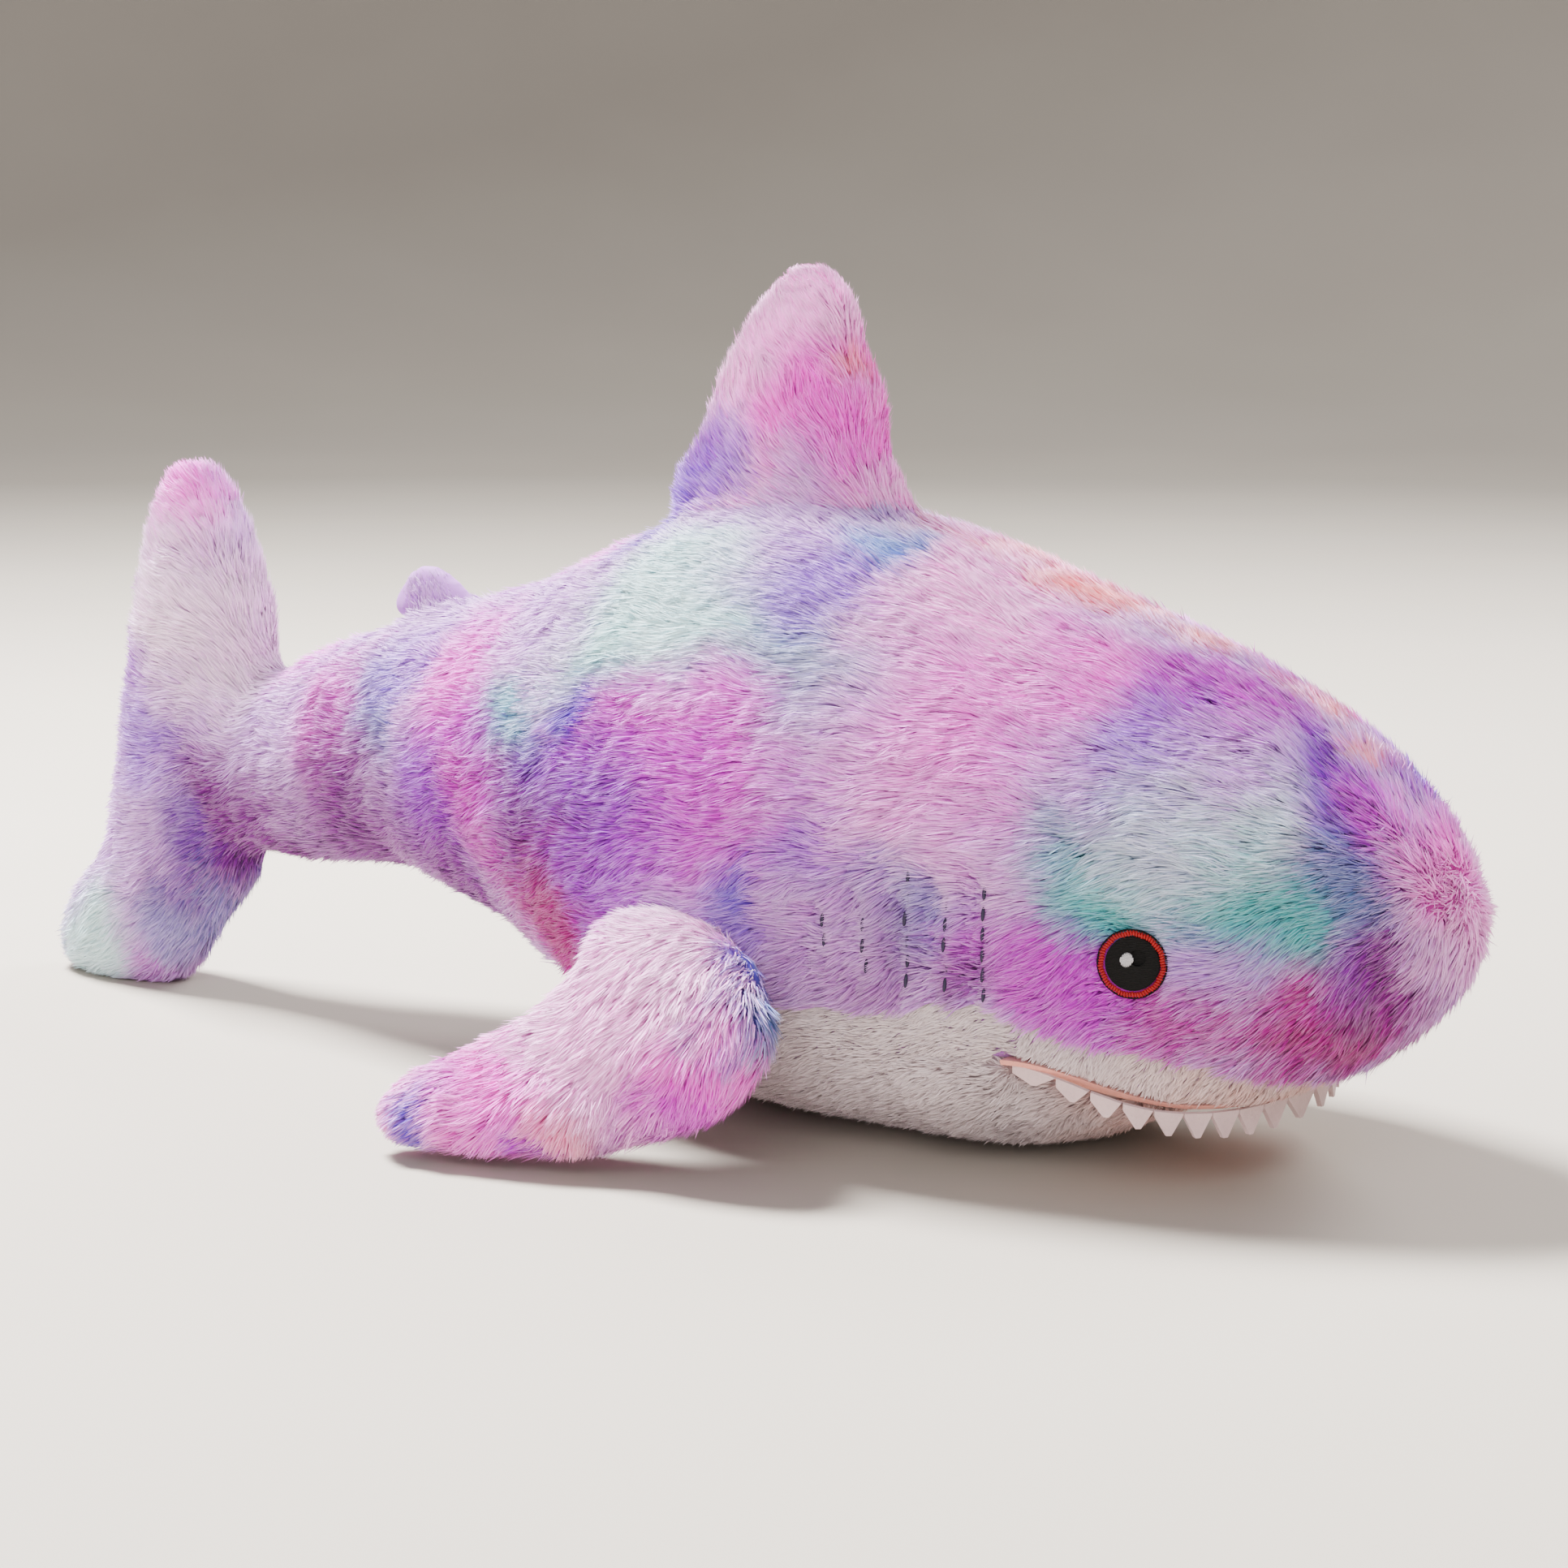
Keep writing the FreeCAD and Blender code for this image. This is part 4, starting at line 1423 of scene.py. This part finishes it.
@dataclass
class Shark:
    """The whole toy: skins, their pile, and the sewn details."""

    blade: np.ndarray = field(default_factory=Strand.cut)
    eyes: tuple[Eye, Eye] = field(default_factory=lambda: (Eye("right"), Eye("left")))
    gills: tuple[Gills, Gills] = field(default_factory=lambda: (Gills("right"), Gills("left")))
    nose: Spot = (0.335, 0.0, 0.098)
    density: float = 3.2
    belly_density: float = 3.0
    sunk: float = 0.6 * MM

    def details(self) -> None:
        """Makes the eyes, gills and mouth."""
        red = Thread("red_satin", linear(176, 14, 20), linear(84, 3, 6)).make()
        black = Embroidery("black_satin", linear(13, 12, 13), linear(2, 2, 2)).make()
        grey = Embroidery("grey_satin", linear(214, 212, 216), linear(150, 148, 154)).make()
        navy = Thread("gill_thread", linear(52, 42, 74), linear(12, 10, 22)).make()
        for eye in self.eyes:
            eye.build(red, black, grey)
        for row in self.gills:
            row.build(navy)
        Mouth().build(Felt("peach_felt", linear(248, 176, 158), linear(220, 128, 118)).make(),
                      Felt("tooth_felt", linear(226, 198, 198), linear(192, 158, 162)).make())

    def trims(self, roots: Roots) -> np.ndarray:
        """How long the trunk's pile is near the eyes and gills, where zero means none.

        Args:
            roots: The roots.

        Returns:
            The share of the full length.
        """
        share = np.ones(len(roots.point))
        for eye in self.eyes:
            away = np.linalg.norm(roots.point - np.array(eye.middle()), axis=1)
            away -= eye.radius + eye.edge * 0.4
            share *= np.clip(0.22 + away / (11 * MM), 0, 1)
            share[away < 0.5 * MM] = 0
        for row in self.gills:
            near = np.flatnonzero(np.abs(roots.point[:, 0] - row.spots[:, 0].mean()) < 60 * MM)
            near = near[roots.point[near, 1] * row.spots[0, 1] > 0]
            gaps = np.linalg.norm(roots.point[near][:, None, :] - row.spots[None], axis=2)
            gap, which = gaps.min(1), gaps.argmin(1)
            open_row = row.spots[which, 0] > row.open_row
            shown = 0.45 + 0.3 * np.sin(which // 5 * 2.9 + 1.0)
            share[near] *= np.clip((gap - 2.4 * MM) / (5 * MM), np.where(open_row, 0.27, shown), 1)
        return share

    def trunk(self) -> Skin:
        """Cuts the skin of the trunk and tail stem, which closes the notches round its folds."""
        torso, tail = "torso_filling", "tail_filling"
        return Skin(
            "trunk_skin", (torso, tail),
            (torso, tail, "flank_panel_right", "flank_panel_left", "belly_panel", "upper_lip_panel",
             "tail_panel_right", "tail_panel_left"),
            ("torso", "tail_stem"), (-0.045, 0, 0.1), (-0.1, 0, 0.1),
            (Bridge((torso, tail), (-104, -200, 0), (-40, 200, 300)),
             Bridge((torso,), (-15, -60, 150), (125, 60, 300)),
             Bridge((torso,), (22, -140, 36), (130, -60, 110)),
             Bridge((torso,), (22, 60, 36), (130, 140, 110)),
             Bridge((tail,), (-145, -60, 110), (-72, 60, 200))))

    def build(self) -> None:
        """Builds every sub-assembly in order."""
        self.details()
        dyed = DyedPile("trunk_dye", Dye.LILAC, TRUNK_BLOTS).make()
        fin_dye = DyedPile("dorsal_dye", Dye.SHELL_PINK, DORSAL_BLOTS).make()
        tail_dye = DyedPile("caudal_dye", Dye.LILAC, CAUDAL_BLOTS).make()
        arm_dye = DyedPile("pectoral_dye", Dye.SHELL_PINK, PECTORAL_BLOTS).make()
        white = WhitePile().make()
        trunk, jaw, fins = self.trunk(), self.jaw(), self.fins()
        for skin in (trunk, jaw, *fins):
            skin.sew()
        fleece = Skin.fleece((trunk, *fins))
        self.measure(fleece, trunk, jaw)
        dyes = (fin_dye, dyed, tail_dye, arm_dye, arm_dye)
        self.dyed_pile(fleece, trunk, fins, dyed, dyes)
        self.white_pile(fleece, trunk, jaw, fins, white)
        bpy.data.objects.remove(fleece.thing)
        for skin, finish in zip((trunk, jaw, *fins), (dyed, white, *dyes)):
            skin.finish(finish)

    def jaw(self) -> Skin:
        """Cuts the jaw's skin, which closes the fold behind the mouth's corners."""
        return Skin(
            "jaw_skin", ("jaw_filling",), ("jaw_filling", "jaw_panel"), ("torso", "lower_jaw"),
            (0.158, 0, 0.03), (0.19, 0, 0.03),
            (Bridge(("jaw_filling", "torso_filling"), (142, -90, 0), (196, 90, 27)),
             Bridge(("jaw_filling", "torso_filling"), (134, -90, 0), (175, 90, 40))),
            plump=0.4 * MM, slot="white_pile")

    def fin(self, name: str, panels: tuple[str, str], body: str, start: Spot, end: Spot,
            **more: object) -> Skin:
        """Cuts the skin of one fin.

        Args:
            name: The fin's body.
            panels: What its two panels are called.
            body: The body that it grows from.
            start: Where its bend starts.
            end: Where its bend ends.
            **more: The skin's other sizes.

        Returns:
            The skin.
        """
        return Skin(f"{name}_skin", (f"{name}_filling",),
                    (f"{name}_filling", *(f"{name}_{panel}" for panel in panels)),
                    (body, name), start, end, **more)

    def fins(self) -> tuple[Skin, ...]:
        """Cuts the skins of the fins.

        Returns:
            The dorsal fin's, the rear one's, the tail fin's, and the right and left side fins'.
        """
        sides, faces = ("panel_right", "panel_left"), ("upper_panel", "lower_panel")
        root = Bridge(("tail_filling", "caudal_fin_filling"), (-212, -40, 62), (-178, 40, 118))
        arms = (self.fin(f"pectoral_fin_{side}", faces, "torso", (0.08, sign * 0.094, 0.074),
                         (0.07, sign * 0.112, 0.056), voxel=3 * MM, plump=-0.6 * MM)
                for side, sign in SIDES)
        return (self.fin("dorsal_fin", sides, "torso", (0.049, 0, 0.186), (0.049, 0, 0.212),
                         voxel=3 * MM, plump=1.2 * MM),
                self.fin("rear_dorsal_fin", sides, "tail_stem", (-0.103, 0, 0.146), (-0.103, 0, 0.160),
                         voxel=2.5 * MM, plump=0.4 * MM),
                self.fin("caudal_fin", sides, "tail_stem", (-0.181, 0, 0.09), (-0.206, 0, 0.09),
                         bridges=(root,), voxel=3 * MM, plump=1.2 * MM),
                *arms)

    def measure(self, fleece: Skin, trunk: Skin, jaw: Skin) -> None:
        """Measures how far the fleece is from the CAD panels and the jaw.

        Args:
            fleece: The surface that pile grows from.
            trunk: The trunk's skin.
            jaw: The jaw's skin.
        """
        def panel(*names: str) -> BVHTree:
            """Makes a search tree of CAD panels.

            Args:
                *names: The panels.

            Returns:
                The tree.
            """
            thing = Bench.copied("panel_guide", names)
            tree = BVHTree.FromObject(thing, bpy.context.evaluated_depsgraph_get())
            bpy.data.objects.remove(thing)
            return tree
        fleece.measure("dyed", panel("flank_panel_right", "flank_panel_left",
                                     "tail_panel_right", "tail_panel_left"))
        fleece.measure("white", panel("belly_panel", "upper_lip_panel"))
        fleece.measure("lining", panel("mouth_roof_lining"))
        fleece.measure("jaw", jaw.tree(), True)
        jaw.measure("white", panel("jaw_panel"))
        jaw.measure("lining", panel("mouth_floor_lining"))
        jaw.measure("trunk", trunk.tree(), True)

    def owner(self, roots: Roots, trunk: Skin, fins: Sequence[Skin]) -> np.ndarray:
        """Which skin each root belongs to: 0 for the trunk, 1 and up for the fins.

        Args:
            roots: The roots.
            trunk: The trunk's skin.
            fins: The fins' skins.

        Returns:
            The skins' numbers.
        """
        away = np.stack([roots.fields[skin.name] for skin in (trunk, *fins)], 1)
        return away.argmin(1)

    def dyed_pile(self, fleece: Skin, trunk: Skin, fins: Sequence[Skin], dyed: Material,
                  dyes: Sequence[Material]) -> None:
        """Grows the long dyed pile of the flanks and fins.

        Args:
            fleece: The surface that it grows from.
            trunk: The trunk's skin.
            fins: The fins' skins.
            dyed: The flanks' finish.
            dyes: The fins' finishes.
        """
        roots = fleece.scatter(self.density, 11)
        owner = self.owner(roots, trunk, fins)
        upper = roots.fields["dyed"] < np.minimum(roots.fields["white"], roots.fields["lining"])
        clear = roots.fields["jaw"] > -self.sunk
        flow = self.lie(roots, owner)
        for (side, sign), seed in zip(SIDES, (21, 22)):
            chosen = clear & upper & (owner == 0) & (roots.point[:, 1] * sign >= 0)
            mine = roots.pick(chosen)
            share = self.trims(mine)
            coat = Coat(f"flank_pile_{side}")
            coat.plant(mine.pick(share > 0), flow[chosen][share > 0], share[share > 0], seed,
                       dyed, self.blade)
        for index, (skin, finish) in enumerate(zip(fins, dyes)):
            chosen = owner == index + 1
            mine = roots.pick(chosen)
            coat = Coat(skin.name.replace("_skin", "_pile"))
            share = np.ones(len(mine.point))
            if "pectoral" in skin.name:
                share = np.clip(0.95 - (30 * MM - mine.point[:, 0]) / (90 * MM), 0.45, 0.95)
            elif skin.name.startswith("rear"):
                share *= 0.5
            elif skin.name.startswith("dorsal"):
                share = np.clip((0.30 - mine.point[:, 2]) / (60 * MM), 0.55, 1)
            coat.plant(mine, flow[chosen], share, 40 + index, finish, self.blade)

    def lie(self, roots: Roots, owner: np.ndarray) -> np.ndarray:
        """The way the pile lies all over the toy.

        Args:
            roots: The roots.
            owner: Which skin each belongs to.

        Returns:
            One direction to each root.
        """
        flow = unit(roots.point - np.array(self.nose)) + np.array([0, 0, -0.22])
        upright = np.clip((roots.point[:, 2] - 0.175) / (40 * MM), 0, 1) * (roots.point[:, 0] < 0.12)
        dorsal = (owner == 1) | ((owner == 0) & (np.abs(roots.point[:, 0] - 0.049) < 0.06))
        flow = np.where(dorsal[:, None], flow + upright[:, None] * np.array([0.35, 0, 0.95]), flow)
        flow[owner == 2] = (-0.6, 0, 0.7)
        tail = owner == 3
        flow[tail] = unit(roots.point[tail] - np.array([-0.17, 0, 0.095])) + np.array([-0.35, 0, 0])
        for number, sign in ((4, -1), (5, 1)):
            arm = owner == number
            start = np.array([0.10, sign * 0.085, 0.085])
            flow[arm] = unit(roots.point[arm] - start) + np.array([-0.1, 0, -0.15])
        return flow

    def white_pile(self, fleece: Skin, trunk: Skin, jaw: Skin, fins: Sequence[Skin],
                   white: Material) -> None:
        """Grows the short white pile of the belly, lip and jaw.

        Args:
            fleece: The surface that it grows from.
            trunk: The trunk's skin.
            jaw: The jaw's skin.
            fins: The fins' skins.
            white: Its finish.
        """
        belly = fleece.scatter(self.belly_density, 12)
        near = belly.fields["white"]
        keep = (near < belly.fields["lining"]) & (near <= belly.fields["dyed"])
        keep &= (self.owner(belly, trunk, fins) == 0) & (belly.fields["jaw"] > -self.sunk)
        chin = jaw.scatter(self.density, 13)
        under = (chin.fields["white"] < chin.fields["lining"]) & (chin.fields["trunk"] > -self.sunk)
        for name, skin, roots, seed in (("belly_pile", trunk, belly.pick(keep), 23),
                                        ("jaw_pile", jaw, chin.pick(under), 24)):
            flow = np.tile(np.array([-1.0, 0, -0.1]), (len(roots.point), 1))
            lip = (roots.point[:, 0] > 0.18) & (roots.point[:, 2] > 25 * MM)
            flow[lip & (name == "belly_pile")] = (-0.75, 0, -0.65)
            coat = Coat(name, length=5.5 * MM, width=0.52 * MM, lean=30, gather=0.4, slot="white_pile")
            coat.plant(roots, flow, np.ones(len(roots.point)), seed, white, self.blade)


# ------------------------------------------------------------------ the studio

@dataclass
class Studio:
    """The camera, the soft lights and the pale floor."""

    eye: Spot = (0.686, -0.914, 0.278)
    azimuth: float = 35.0
    pitch: float = 9.0
    lens: float = 78.7
    flat: float = 3.0
    curve: float = 2.4
    slope: float = 70.0
    steps: int = 10

    def camera(self) -> None:
        """Sets up the camera."""
        azimuth, pitch = math.radians(self.azimuth), math.radians(self.pitch)
        look = Vector((-math.sin(azimuth) * math.cos(pitch), math.cos(azimuth) * math.cos(pitch),
                       -math.sin(pitch)))
        bpy.ops.object.camera_add(location=self.eye, rotation=look.to_track_quat("-Z", "Y").to_euler())
        camera = bpy.context.object
        camera.data.lens = self.lens
        camera.data.sensor_width = 36.0
        bpy.context.scene.camera = camera

    def light(self, name: str, place: Spot, size: float, power: float) -> None:
        """Hangs a soft square light that looks at the toy.

        Args:
            name: The light's name.
            place: Where it hangs.
            size: Its width.
            power: Its power in watts.
        """
        turn = (Vector((0, 0, 0.1)) - Vector(place)).to_track_quat("-Z", "Y").to_euler()
        bpy.ops.object.light_add(type="AREA", location=place, rotation=turn)
        lamp = bpy.context.object
        lamp.name = name
        lamp.data.size = size
        lamp.data.energy = power

    def build(self) -> None:
        """Lights the floor and the toy."""
        self.light("key_light", (-0.95, 0.1, 1.75), 0.6, 285.0)
        self.light("fill_light", (0.9, -1.9, 1.1), 1.8, 34.0)
        self.light("back_light", (0.5, 1.5, 1.4), 1.0, 56.0)
        world = bpy.data.worlds.new("pale_room")
        world.use_nodes = True
        world.node_tree.nodes["Background"].inputs["Color"].default_value = (1, 0.99, 1, 1)
        world.node_tree.nodes["Background"].inputs["Strength"].default_value = 0.6
        bpy.context.scene.world = world
        self.floor()

    def floor(self) -> None:
        """Lays the floor: flat under the toy, and rising far away so that no edge shows."""
        bpy.ops.mesh.primitive_circle_add(vertices=128, radius=self.flat)
        floor = Bench.settle("floor")
        with Bench.editing():
            bpy.ops.mesh.select_all(action="SELECT")
            radius, height = self.flat, 0.0
            for step in range(1, self.steps + 1):
                angle = math.radians(self.slope * step / self.steps)
                wider = self.flat + self.curve * math.sin(angle)
                higher = self.curve * (1 - math.cos(angle))
                lift, growth = higher - height, wider / radius
                bpy.ops.mesh.extrude_region_move(TRANSFORM_OT_translate={"value": (0, 0, lift)})
                bpy.ops.transform.resize(value=(growth, growth, 1), center_override=(0, 0, 0))
                radius, height = wider, higher
            bpy.ops.mesh.select_all(action="DESELECT")
        for vertex in floor.data.vertices:
            vertex.select = vertex.co.z < MM
        with Bench.editing():
            bpy.ops.mesh.edge_face_add()
        bpy.ops.object.shade_smooth()
        paint = Paint("pale_floor", Roughness=0.9)
        tone = Shade(paint, paint.noise(paint.place(), 3.0).outputs["Fac"])
        paint.feed("Base Color", paint.mix(tone, (0.43, 0.38, 0.325), (0.475, 0.425, 0.365)))
        Bench.dress(floor, paint.material)


def main() -> None:
    """Builds the studio and the toy."""
    logging.basicConfig(level=logging.INFO, format="%(name)s %(message)s")
    studio = Studio()
    studio.camera()
    Shark().build()
    studio.build()


if __name__ == "__main__":
    main()
